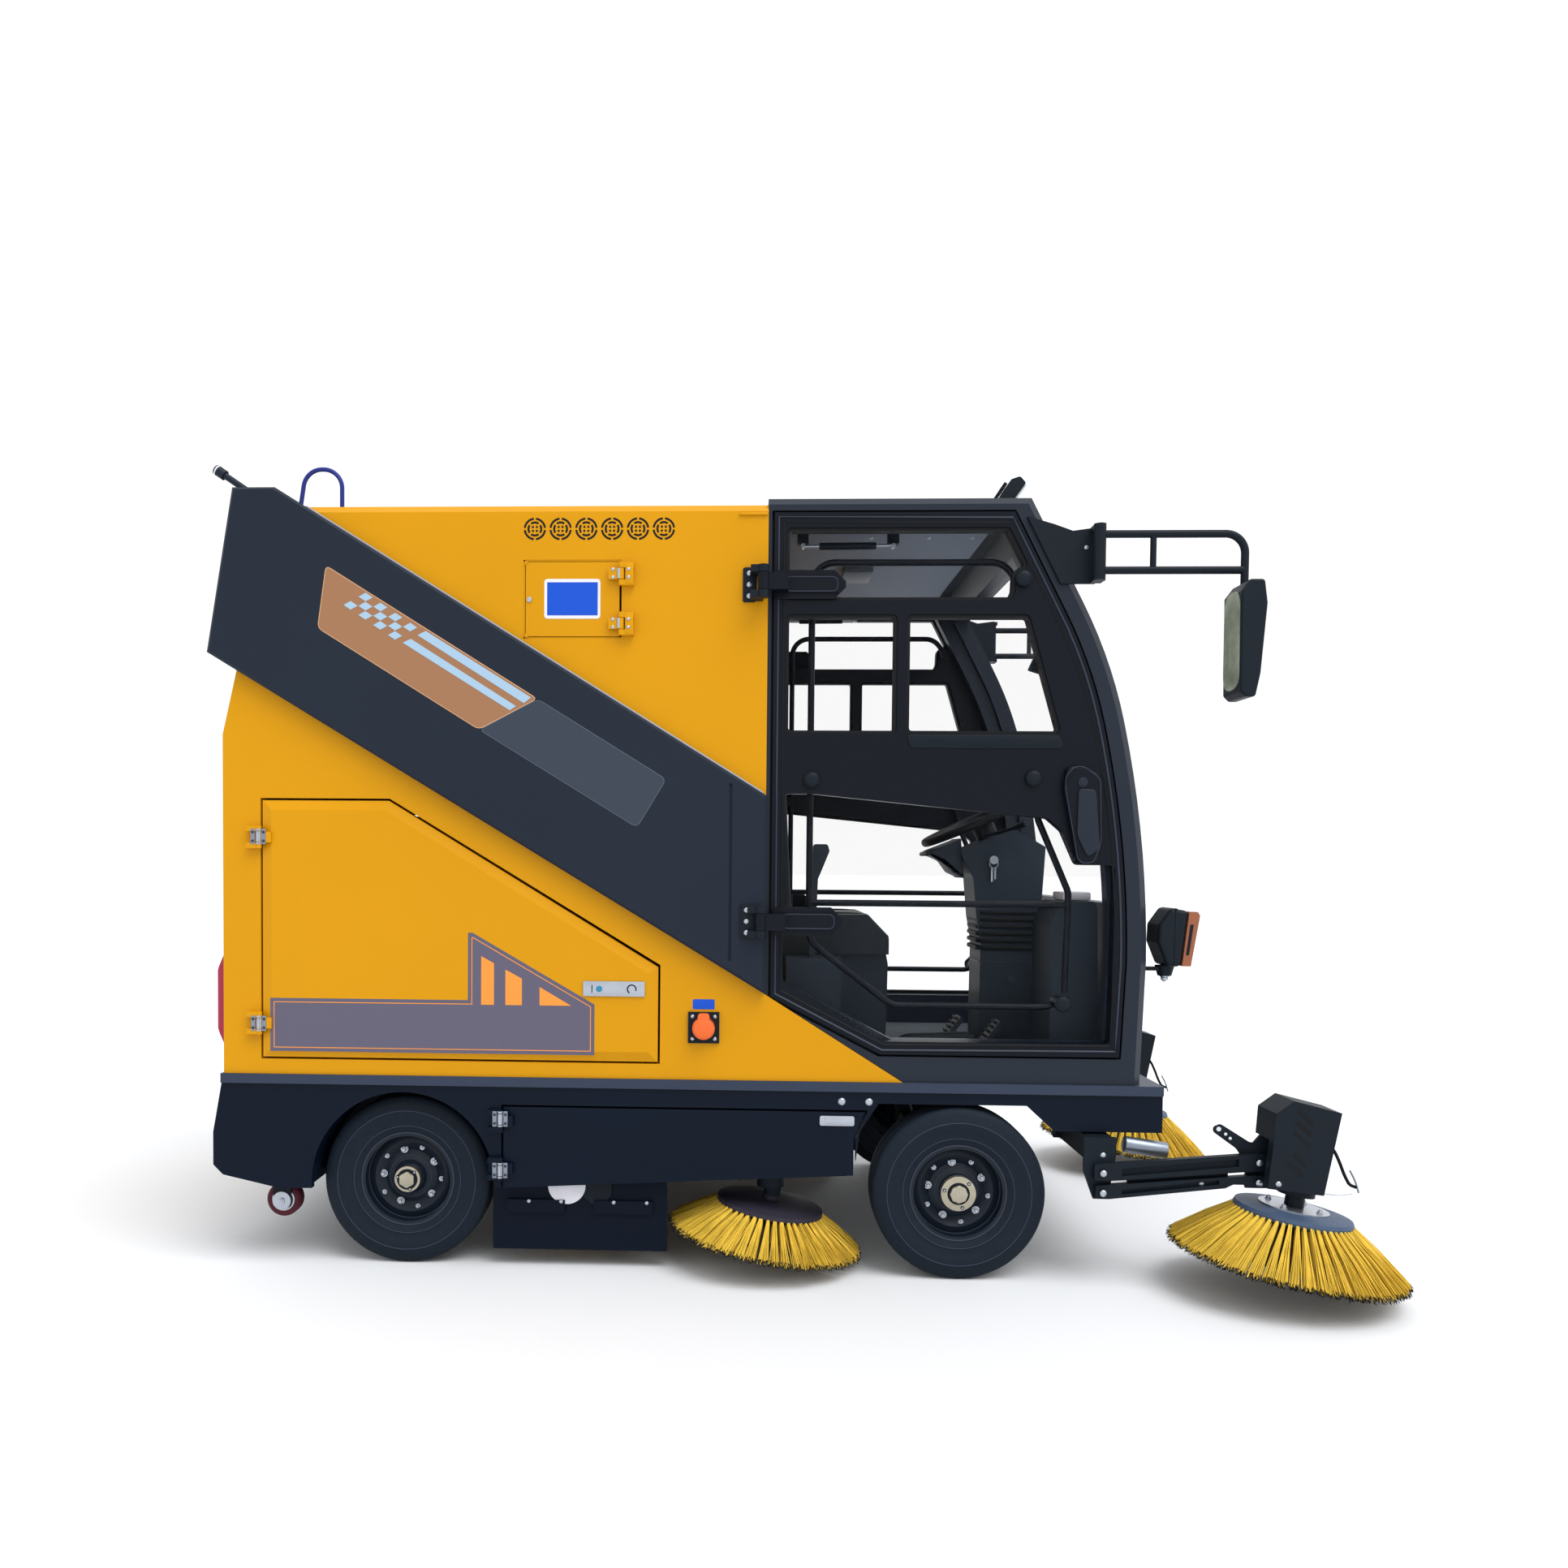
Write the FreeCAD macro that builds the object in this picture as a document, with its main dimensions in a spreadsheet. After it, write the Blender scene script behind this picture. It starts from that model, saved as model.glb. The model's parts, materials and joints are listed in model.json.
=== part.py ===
import FreeCAD, Part
import math
import os
import Sketcher

# Compact ride-on street sweeper truck with a closed cab.
# Millimetres. +X forward, +Y to the driver's left, +Z up.
# Origin on the ground, below the middle of the overall box.

SIZES = {
    # whole
    "overall_half": 1583, "body_half": 650, "fit_gap": 0.05, "seat_gap": 0.3, "swing_gap": 6,
    # wheels and axles
    "wheelbase": 1508, "front_axle_x": 451, "wheel_radius": 232, "tyre_width": 132,
    "front_track": 1190, "rear_track": 1090, "bead_radius": 127, "rim_flange": 146, "rim_width": 98,
    "rim_dish": 112, "rim_sheet": 8, "hub_radius": 47, "hub_cap": 24, "spindle_radius": 20,
    "kingpin_inset": 115, "kingpin_radius": 14, "eye_radius": 34, "eye_height": 90, "yoke_thick": 18,
    "axle_tube": 38, "axle_casing": 105,
    # frame, deck and lower panels
    "rail_y": 330, "rail_width": 60, "rail_low": 420, "deck_low": 504, "deck_top": 530,
    "deck_rear": -1559, "deck_front": 987, "deck_lip": 8, "cross_width": 70,
    "skirt_sheet": 22, "skirt_low": 226, "skirt_low_front": 276,
    "arch_gap": 20, "liner_sheet": 6, "liner_hole": 70, "arch_top": 8, "nose_low": 405, "nose_rear": 617, "eye_plate": 20, "tow_bore": 12,
    "bumper_low": 249, "bumper_kink": 366, "bumper_bottom": 214, "jack_x": 197, "jack_radius": 32,
    # body
    "body_rear": -1552, "body_front": -75, "body_top": 2072, "body_wall": 40,
    "body_kink": 1455, "body_lean_x": 38, "body_lean_z": 169, "body_top_lean": 73,
    "cheek_tip": 298, "cheek_top": 764, "edge_chamfer": 20,
    # slanted cover
    "cover_proud": 35, "cover_front_top": 1296, "cover_front_low": 767, "cover_slope": 31.7,
    "cover_slope_low": 31, "cover_edge": 7, "hood_top": 2112, "hood_lean": 71,
    "seam_x": -173, "seam_slot": 8, "stalk_x": -1483, "stalk_inset": 22, "stalk_lean": 56,
    "stalk_length": 112, "stalk_radius": 9,
    # cab
    "cab_inset": 5, "cab_top": 2090, "cab_roof": 40, "brow_x": 944, "brow_z": 860,
    "curve_low": 3000, "curve_top": 1300, "lean_low": 12.3, "lean_top": 27, "chin_back": 12,
    "cab_front_wall": 50, "cab_side_wall": 85, "screen_low": 1010, "screen_top": 1985,
    "screen_post": 100, "screen_inset": 14, "glass": 6,
    # cab door
    "door_thick": 40, "door_rear": -59, "door_top": 2048, "door_inset": 62, "door_low": 605,
    "door_low_x": 238, "door_low_rear": 758, "door_lap": 34, "door_stile": 30,
    "pane_bar_low": 1779, "pane_bar_high": 1815, "pane_top": 2008, "band_top": 1462,
    "band_low_rear": 1302, "band_low_front": 1240, "pane_post": 282, "pane_post_width": 24,
    "pane_rear": -27, "pane_low": 640, "pane_low_x": 239, "pane_low_rear": 800, "pane_corner": 16,
    "handle_rear": 707, "handle_front": 809, "handle_low": 1117, "handle_top": 1378, "handle_proud": 26,
    "door_hinge_x": -88, "door_hinge_out": 52, "door_hinge_low": 961, "door_hinge_high": 1856,
    "hinge_pin": 8, "hinge_barrel": 15, "hinge_height": 46, "hinge_lug": 20,
    "door_arm": 190, "door_arm_height": 76, "guard_radius": 9, "guard_inset": 22, "boss_radius": 22,
    # side door, skirt door, water door, rear door, vents
    "side_door_rear": -1448, "side_door_front": -355, "side_door_low": 571, "side_door_top": 1283,
    "side_door_kink": -1093, "side_door_front_top": 839, "panel_thick": 34, "bevel_height": 9,
    "bevel_lean": -69, "panel_hinge_out": 14, "panel_hinge_height": 62, "panel_pin": 4, "panel_barrel": 8,
    "skirt_door_rear": -786, "skirt_door_front": 169, "skirt_door_top": 454, "skirt_door_lean": 32,
    "water_rear": -730, "water_front": -466, "water_low": 1714, "water_top": 1924,
    "rear_door_inset": 170, "rear_door_low": 610, "rear_door_top": 1400,
    "vent_first": -700, "vent_pitch": 69.2, "vent_count": 6, "vent_z": 2006, "vent_slot": 4.5,
    "vent_ring": 5, "vent_step": 10,
    # sockets, lamps and mirrors
    "socket_x": -237, "socket_z": 672, "socket_size": 84, "socket_cap": 31,
    "filler_x": -603, "filler_z": 1815, "filler_radius": 30, "filler_bore": 25, "filler_length": 70,
    "tank_depth": 120, "tail_low": 596, "tail_top": 866, "tail_inset": 50, "tail_width": 70,
    "tail_proud": 26, "head_lamp_inset": 85, "head_lamp_low": 846, "head_lamp_top": 1004,
    "head_lamp_rear": 979, "head_lamp_front": 1092, "head_lamp_half": 55, "head_lens": 34,
    "roof_lamp_back": 34, "roof_lamp_inset": 125, "roof_lamp_half": 38,
    "mirror_back": 44, "mirror_out": 45, "mirror_low": 1858, "mirror_high": 2004,
    "mirror_tube": 10, "mirror_reach": 372, "mirror_head_rear": 331, "mirror_head_low": 1546,
    "mirror_head_top": 1842, "mirror_head_width": 62, "mirror_head_depth": 120, "mirror_bend": 50,
    # roof hose
    "hose_radius": 6, "hose_front": -1238, "hose_rear": -1354, "hose_top": 2182, "hose_inset": 50, "hose_seat": 1.5,
    # seat and controls
    "seat_half": 225, "seat_front": 309, "seat_rear": -63, "cushion_top": 962,
    "seat_box_top": 842, "back_thick": 78, "back_top": 1440,
    "column_x": 693, "column_low_half": 88, "column_half": 88, "column_neck": 930, "wheel_tilt": 24,
    "steer_x": 619, "steer_z": 1258, "steer_radius": 185, "steer_rim": 13, "steer_hub": 34,
    "steer_drop": 62, "steer_pin": 9, "console_rear": 733, "console_front": 873, "console_y": 350,
    "console_half": 110, "console_top": 1015, "lever_x": 83, "lever_y": 330, "lever_top": 1172,
    "pedal_y": 130, "pedal_half": 38,
    # side brushes
    "brush_y": 700, "brush_z": 221, "brush_tilt": 8, "disc_radius": 146, "disc_thick": 26,
    "brush_pin": 14, "brush_hub": 24, "brush_collar": 40, "bristle_radius": 293, "bristle_drop": 136,
    "bristle_ring": 56, "brush_plate": 86, "mid_plate": 70, "plate_thick": 8,
     "tuft_count": 26, "tuft_gap": 9, "brush_reach": 367,
    "link_rear_x": 815, "link_high": 310, "link_low": 258, "link_rise": 34, "link_upper_width": 42,
    "link_lower_width": 34, "link_thick": 20, "link_pin": 8, "arm_y": 680, "arm_plate": 10,
    "mid_x": -49, "mid_y": 520, "mid_z": 168, "mid_tilt": 9, "mid_radius": 272, "mid_disc": 150,
    "mid_drop": 96, "mid_post": 14, "mid_head_top": 190,
    # main brush, curtains and rollers
    "main_x": -593, "main_z": 181, "main_core": 90, "main_radius": 175, "main_half": 520,
    "main_ribs": 12, "rib_width": 26, "curtain_rear": -816, "curtain_front": -335, "curtain_low": 46,
    "curtain_thick": 8, "clamp_low": 150, "clamp_height": 36,
    "roller_x": -1420, "roller_z": 158, "roller_radius": 48, "roller_width": 42, "roller_y": 540,
    # heavy mass
    "battery_rear": -1283, "battery_front": -403, "battery_half": 380, "battery_top": 980,
}

doc = FreeCAD.newDocument("street_sweeper")
sheet = doc.addObject("Spreadsheet::Sheet", "Sizes")


class Size:
    """A length, ratio or angle that keeps the words it was worked out from."""

    def __init__(self, value, words):
        self.value = float(value)
        self.words = words

    def __add__(self, other):
        return Size(self.value + plain(other), "(%s + %s)" % (self.words, wording(other)))

    def __sub__(self, other):
        return Size(self.value - plain(other), "(%s - %s)" % (self.words, wording(other)))

    def __mul__(self, other):
        return Size(self.value * plain(other), "%s * %s" % (self.words, wording(other)))

    def __truediv__(self, other):
        return Size(self.value / plain(other), "%s / %s" % (self.words, wording(other)))

    def __radd__(self, other):
        return Size(plain(other) + self.value, "(%s + %s)" % (wording(other), self.words))

    def __rsub__(self, other):
        return Size(plain(other) - self.value, "(%s - %s)" % (wording(other), self.words))

    def __rmul__(self, other):
        return Size(plain(other) * self.value, "%s * %s" % (wording(other), self.words))

    def __neg__(self):
        return Size(-self.value, "(0 - %s)" % self.words)


def plain(size):
    return size.value if isinstance(size, Size) else float(size)


def wording(size):
    return size.words if isinstance(size, Size) else "%.6g" % size


def cosine(angle):
    return Size(math.cos(math.radians(plain(angle))), "cos(%s)" % wording(angle))


def sine(angle):
    return Size(math.sin(math.radians(plain(angle))), "sin(%s)" % wording(angle))


def tangent(angle):
    return Size(math.tan(math.radians(plain(angle))), "tan(%s)" % wording(angle))


class Sheet:
    """The named sizes, read as attributes."""

    def __init__(self, table):
        for row, (name, value) in enumerate(table.items(), 1):
            sheet.set("A%d" % row, name)
            sheet.set("B%d" % row, str(value))
            sheet.setAlias("B%d" % row, name)
            setattr(self, name, Size(value, "Sizes." + name))


d = Sheet(SIZES)
doc.recompute()

features = []
nodes = {}


def bind(obj, name, size):
    obj.setExpression(name, wording(size))


def origin_plane(body, plane):
    return [f for f in body.Origin.OriginFeatures if f.Role == plane + "_Plane"][0]


def new_body(label):
    body = doc.addObject("PartDesign::Body", label)
    body.Label = label
    return body


class Outline:
    """A sketch on one of its body's own planes; (u, v) is its origin and w its height."""

    def __init__(self, body, plane, u=0, v=0, w=0):
        self.sketch = body.newObject("Sketcher::SketchObject", body.Name + "_outline")
        self.sketch.AttachmentSupport = [(origin_plane(body, plane), "")]
        self.sketch.MapMode = "FlatFace"
        for axis, size in zip("xyz", (u, v, w)):
            if plain(size) != 0:
                bind(self.sketch, ".AttachmentOffset.Base." + axis, size)
        spot = FreeCAD.Vector(plain(u), plain(v), plain(w))
        self.sketch.AttachmentOffset = FreeCAD.Placement(spot, FreeCAD.Rotation())

    def place(self, edge, end, point):
        for kind, size in zip(("DistanceX", "DistanceY"), point):
            rule = Sketcher.Constraint(kind, -1, 1, edge, end, plain(size))
            number = self.sketch.addConstraint(rule)
            if isinstance(size, Size):
                bind(self.sketch, "Constraints[%d]" % number, size)

    def loop(self, points, closed=True):
        """Corners in order; a third value is the radius of the arc that leads on from that
        corner, positive where the arc bends to the left."""
        corners = list(points) + [points[0]] if closed else list(points)
        ends = []
        for corner, after in zip(corners, corners[1:]):
            start = FreeCAD.Vector(plain(corner[0]), plain(corner[1]), 0)
            finish = FreeCAD.Vector(plain(after[0]), plain(after[1]), 0)
            if len(corner) == 2:
                number = self.sketch.addGeometry(Part.LineSegment(start, finish))
                ends.append((number, 1, 2))
                continue
            left = plain(corner[2]) > 0
            span = (start, finish) if left else (finish, start)
            radius = abs(plain(corner[2]))
            number = self.sketch.addGeometry(arc_between(span[0], span[1], radius))
            ends.append((number, 1, 2) if left else (number, 2, 1))
            rule = self.sketch.addConstraint(Sketcher.Constraint("Radius", number, radius))
            if isinstance(corner[2], Size):
                bind(self.sketch, "Constraints[%d]" % rule, corner[2] if left else 0 - corner[2])
        links = list(zip(ends, ends[1:])) + ([(ends[-1], ends[0])] if closed else [])
        for before, after in links:
            rule = Sketcher.Constraint("Coincident", before[0], before[2], after[0], after[1])
            self.sketch.addConstraint(rule)
        for end, corner in zip(ends, corners):
            self.place(end[0], end[1], corner[:2])
        if not closed:
            self.place(ends[-1][0], ends[-1][2], corners[-1][:2])
        return self

    def box(self, low_u, high_u, low_v, high_v):
        return self.loop([(low_u, low_v), (high_u, low_v), (high_u, high_v), (low_u, high_v)])

    def circle(self, u, v, radius):
        centre = FreeCAD.Vector(plain(u), plain(v), 0)
        round_edge = Part.Circle(centre, FreeCAD.Vector(0, 0, 1), plain(radius))
        number = self.sketch.addGeometry(round_edge)
        self.place(number, 3, (u, v))
        rule = Sketcher.Constraint("Radius", number, plain(radius))
        index = self.sketch.addConstraint(rule)
        if isinstance(radius, Size):
            bind(self.sketch, "Constraints[%d]" % index, radius)
        return self


def arc_between(start, finish, radius):
    """The short arc from start to finish, bending to the left."""
    chord = finish - start
    half = chord.Length / 2
    rise = radius - math.sqrt(radius * radius - half * half)
    side = FreeCAD.Vector(chord.y, -chord.x, 0).normalize()
    return Part.Arc(start, (start + finish) * 0.5 + side * rise, finish)


def bent(points, radius, closed=False):
    """The same route with a tangent arc of the radius at each corner between straight runs."""
    count = len(points)
    route = [] if closed else [points[0]]
    corners = range(count) if closed else range(1, count - 1)
    for index in corners:
        before, corner, after = points[index - 1], points[index], points[(index + 1) % count]
        come = heading(before, corner)
        leave = heading(corner, after)
        bend = come.x * leave.y - come.y * leave.x
        turn = math.atan2(bend, come.dot(leave))
        reach = plain(radius) * math.tan(abs(turn) / 2)
        side = 1 if turn > 0 else -1
        route.append((corner[0] - come.x * reach, corner[1] - come.y * reach, plain(radius) * side))
        route.append((corner[0] + leave.x * reach, corner[1] + leave.y * reach))
    return route if closed else route + [points[-1]]


def heading(start, finish):
    step = FreeCAD.Vector(plain(finish[0]) - plain(start[0]), plain(finish[1]) - plain(start[1]), 0)
    return step.normalize()


def extrude(body, plane, low, high, cut, u=0, v=0):
    """Makes the outline for a pad or pocket that runs from low to high across its plane."""
    if plane == "XZ":
        return Outline(body, plane, u, v, 0 - (low if cut else high))
    return Outline(body, plane, u, v, high if cut else low)


def add(body, outline, low, high):
    pad = body.newObject("PartDesign::Pad", body.Name + "_pad")
    pad.Profile = outline.sketch
    pad.Length = plain(high) - plain(low)
    if isinstance(high - low, Size):
        bind(pad, "Length", high - low)
    features.append(pad)
    return pad


def take(body, outline, low, high):
    pocket = body.newObject("PartDesign::Pocket", body.Name + "_pocket")
    pocket.Profile = outline.sketch
    pocket.Length = plain(high) - plain(low)
    if isinstance(high - low, Size):
        bind(pocket, "Length", high - low)
    features.append(pocket)
    return pocket


def solid(body, plane, low, high, *loops):
    outline = extrude(body, plane, low, high, False)
    for points in loops:
        outline.loop(points)
    return add(body, outline, low, high)


def hollow(body, plane, low, high, *loops):
    outline = extrude(body, plane, low, high, True)
    for points in loops:
        outline.loop(points)
    return take(body, outline, low, high)


def rod(body, plane, low, high, u, v, radius):
    outline = extrude(body, plane, low, high, False)
    outline.circle(u, v, radius)
    return add(body, outline, low, high)


def bore(body, plane, low, high, u, v, radius):
    outline = extrude(body, plane, low, high, True)
    outline.circle(u, v, radius)
    return take(body, outline, low, high)


def turned(body, plane, axis, u, v, w, *loops):
    """A solid of revolution about the outline's own H or V axis."""
    outline = Outline(body, plane, u, v, w)
    for points in loops:
        outline.loop(points)
    spin = body.newObject("PartDesign::Revolution", body.Name + "_turned")
    spin.Profile = outline.sketch
    spin.ReferenceAxis = (outline.sketch, [axis + "_Axis"])
    spin.Angle = 360
    features.append(spin)
    return spin


def around(body, feature, count, outline):
    """Copies a feature round its own outline's normal axis."""
    doc.recompute()
    ring = body.newObject("PartDesign::PolarPattern", body.Name + "_ring")
    ring.Originals = [feature]
    ring.Axis = (outline.sketch, ["N_Axis"])
    ring.Angle = 360
    ring.Occurrences = int(plain(count))
    if isinstance(count, Size):
        bind(ring, "Occurrences", count)
    body.Tip = ring
    features.append(ring)
    return ring


def edges_where(feature, test):
    """Names of the edges whose ends and middle all pass the test."""
    doc.recompute()
    names = []
    for number, edge in enumerate(feature.Shape.Edges, 1):
        middle = edge.valueAt((edge.FirstParameter + edge.LastParameter) / 2)
        if all(test(point) for point in [vertex.Point for vertex in edge.Vertexes] + [middle]):
            names.append("Edge%d" % number)
    return names


def dressed(body, kind, feature, size, test):
    """Rounds or chamfers the edges that pass the test."""
    dress = body.newObject("PartDesign::" + kind, body.Name + "_edge")
    dress.Base = (feature, edges_where(feature, test))
    name = "Radius" if kind == "Fillet" else "Size"
    setattr(dress, name, plain(size))
    bind(dress, name, size)
    features.append(dress)
    return dress


def near(value, size):
    return abs(value - plain(size)) < 0.01


def tube(body, across, route, radius, start):
    """Round tube along a route in a plane of constant Y; it starts along X or Z."""
    spine = Outline(body, "XZ", 0, 0, 0 - across)
    spine.loop(route, closed=False)
    if start == "X":
        ring = Outline(body, "YZ", 0, 0, route[0][0]).circle(across, route[0][1], radius)
    else:
        ring = Outline(body, "XY", 0, 0, route[0][1]).circle(route[0][0], across, radius)
    pipe = body.newObject("PartDesign::AdditivePipe", body.Name + "_tube")
    pipe.Profile = ring.sketch
    edges = ["Edge%d" % (number + 1) for number in range(spine.sketch.GeometryCount)]
    pipe.Spine = (spine.sketch, edges)
    features.append(pipe)
    return pipe


def rect(low_u, high_u, low_v, high_v):
    return [(low_u, low_v), (high_u, low_v), (high_u, high_v), (low_u, high_v)]


def other_side(label, source):
    """The same piece on the other side of the middle."""
    twin = doc.addObject("Part::Mirroring", label)
    twin.Label = label
    twin.Source = source
    twin.Base = FreeCAD.Vector(0, 0, 0)
    twin.Normal = FreeCAD.Vector(0, 1, 0)
    features.append(twin)
    return twin


def joined(label, pieces):
    whole = doc.addObject("Part::MultiFuse", label)
    whole.Label = label
    whole.Shapes = pieces
    features.append(whole)
    return whole


def together(label, pieces):
    """Pieces on one body that don't touch, kept as one node."""
    group = doc.addObject("Part::Compound", label)
    group.Label = label
    group.Links = pieces
    features.append(group)
    return group


def keep(node, obj):
    nodes[node] = obj
    return obj


rear_axle_x = d.front_axle_x - d.wheelbase
mid_y = {"front": d.front_track / 2, "rear": d.rear_track / 2}
kingpin_y = d.front_track / 2 - d.kingpin_inset
cab_half = d.body_half - d.cab_inset
bumper_rear = 0 - d.overall_half
front_pin_x = d.overall_half - d.brush_reach
axle_x = {"front": d.front_axle_x, "rear": rear_axle_x}


def tyre(label, end):
    """A wide low tyre with rounded shoulders, turned about its axle."""
    body = new_body(label)
    half = d.tyre_width / 2
    tread = half - 16
    bead = d.bead_radius + d.seat_gap
    shoulder = d.wheel_radius - 14
    seat = d.rim_width / 2 - d.rim_sheet - d.seat_gap
    section = [(0 - tread, d.wheel_radius), (0 - half, shoulder), (0 - half, bead + 60),
               (0 - seat, bead + 22), (0 - seat, bead), (seat, bead), (seat, bead + 22),
               (half, bead + 60), (half, shoulder), (tread, d.wheel_radius)]
    turned(body, "YZ", "H", 0 - mid_y[end], d.wheel_radius, axle_x[end], section)
    return body


def rim(label, end):
    """Pressed rim with flanges, a dished disc and a hub that takes the spindle."""
    body = new_body(label)
    half = d.rim_width / 2
    sheet_inner = d.bead_radius - d.rim_sheet
    face = d.rim_width / 2 - 34
    barrel = [(0 - half, sheet_inner), (half, sheet_inner), (half, d.rim_flange),
              (half - d.rim_sheet, d.rim_flange), (half - d.rim_sheet, d.bead_radius),
              (d.rim_sheet - half, d.bead_radius), (d.rim_sheet - half, d.rim_flange),
              (0 - half, d.rim_flange)]
    turned(body, "YZ", "H", 0 - mid_y[end], d.wheel_radius, axle_x[end], barrel)
    bore_radius = d.spindle_radius + d.fit_gap
    nose = 0 - half - 6
    disc = [(0 - face, sheet_inner + 2), (0 - face - 8, d.rim_dish - 14), (0 - face + 6, d.hub_radius + 26),
            (0 - face - 6, d.hub_radius), (0 - face - 20, d.hub_radius - 6), (nose, d.hub_cap), (nose, 0),
            (nose + 10, 0), (nose + 10, bore_radius), (half - 30, bore_radius), (half - 30, d.hub_radius),
            (8 - face, d.hub_radius), (18 - face, d.hub_radius + 26), (4 - face, d.rim_dish - 14),
            (12 - face, sheet_inner + 2)]
    turned(body, "YZ", "H", 0 - mid_y[end], d.wheel_radius, axle_x[end], disc)
    return body


def wheels():
    for end in ("front", "rear"):
        for make, name in ((tyre, "tyre"), (rim, "rim")):
            right = make("%s_%s_right" % (name, end), end)
            keep(right.Label, right)
            left = other_side("%s_%s_left" % (name, end), right)
            keep(left.Label, left)


def front_axle():
    """Dropped beam with an eye at each end for the kingpin, and two posts up to the frame."""
    body = new_body("front_axle")
    x = d.front_axle_x
    z = d.wheel_radius
    half = d.eye_height / 2
    solid(body, "XZ", 0 - kingpin_y, kingpin_y, rect(x - 34, x + 34, z - 34, z + 34))
    for side in (-1, 1):
        rod(body, "XY", z - half, z + half, x, kingpin_y * side, d.eye_radius)
    for side in (-1, 1):
        bore(body, "XY", z - half, z + half, x, kingpin_y * side, d.kingpin_radius + d.fit_gap)
        middle = d.rail_y * side
        solid(body, "XZ", middle - d.rail_width / 2, middle + d.rail_width / 2,
              [(x - 30, z), (x + 30, z), (x + 90, d.rail_low), (x - 90, d.rail_low)])
    keep("front_axle", body)


def knuckle():
    """Yoke and kingpin round the axle's eye, with the spindle that carries the wheel."""
    body = new_body("knuckle_right")
    x = d.front_axle_x
    y = 0 - kingpin_y
    z = d.wheel_radius
    half = d.eye_height / 2 + d.seat_gap
    ear = d.eye_radius
    back = y - d.eye_radius - 4
    rod(body, "XY", z - half - d.yoke_thick, z + half + d.yoke_thick, x, y, d.kingpin_radius)
    for low in (z - half - d.yoke_thick, z + half):
        solid(body, "XY", low, low + d.yoke_thick,
              [(x - ear, back), (x + ear, back), (x + ear, y), (x - ear, y, 0 - ear)])
    solid(body, "XZ", back - 14, back, rect(x - ear, x + ear, z - half - d.yoke_thick,
                                            z + half + d.yoke_thick))
    tip = 0 - mid_y["front"] - d.rim_width / 2 + 6
    rod(body, "XZ", tip, back, x, z, d.spindle_radius)
    keep("knuckle_right", body)
    keep("knuckle_left", other_side("knuckle_left", body))


def rear_axle():
    """Driven axle: tubes, a round gear casing, spindles and two posts to the frame."""
    body = new_body("rear_axle")
    x = rear_axle_x
    z = d.wheel_radius
    inner = mid_y["rear"] - d.tyre_width / 2 - 12
    tip = mid_y["rear"] + d.rim_width / 2 - 6
    shoulder = d.axle_casing / 2 + 10
    profile = [(0 - tip, 0), (0 - tip, d.spindle_radius), (0 - inner, d.spindle_radius),
               (0 - inner, d.axle_tube), (0 - shoulder - 70, d.axle_tube),
               (0 - shoulder, d.axle_casing), (shoulder, d.axle_casing),
               (shoulder + 70, d.axle_tube), (inner, d.axle_tube), (inner, d.spindle_radius),
               (tip, d.spindle_radius), (tip, 0)]
    turned(body, "YZ", "H", 0, z, x, profile)
    for side in (-1, 1):
        middle = d.rail_y * side
        solid(body, "XZ", middle - d.rail_width / 2, middle + d.rail_width / 2,
              [(x - 46, z), (x + 46, z), (x + 110, d.rail_low), (x - 110, d.rail_low)])
    keep("rear_axle", body)


def frame():
    """Ladder frame with the hanging brackets for brushes and rollers."""
    body = new_body("ladder")
    rear = d.deck_rear + 60
    front = d.deck_front - 60
    outer = d.rail_y + d.rail_width / 2
    inner = d.rail_y - d.rail_width / 2
    outline = extrude(body, "XY", d.rail_low, d.deck_low, False)
    outline.box(rear, front, 0 - outer, outer)
    stations = [rear, rear_axle_x, d.main_x + 40, d.front_axle_x, front]
    for before, after in zip(stations, stations[1:]):
        low = before + d.cross_width if before is rear else before + d.cross_width / 2
        high = after - d.cross_width if after is front else after - d.cross_width / 2
        outline.box(low, high, 0 - inner, inner)
    add(body, outline, d.rail_low, d.deck_low)
    pieces = [body]
    bracket = brush_brackets()
    pieces += [bracket, other_side("brackets_left", bracket), tow_eye()]
    keep("frame_rails", joined("frame_rails", pieces))


def tow_eye():
    """Lug with a cross bore below the front crossmember."""
    body = new_body("tow_lug")
    half = d.eye_plate / 2
    x = d.deck_front - 92
    z = d.rail_low - 46
    solid(body, "XZ", 0 - half, half, [(x - 40, d.rail_low), (x - 24, z - 8), (x - 12, z - 24), (x + 12, z - 24),
                                       (x + 24, z - 8), (x + 32, d.rail_low)])
    bore(body, "XZ", 0 - half, half, x, z, d.tow_bore)
    return body


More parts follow.
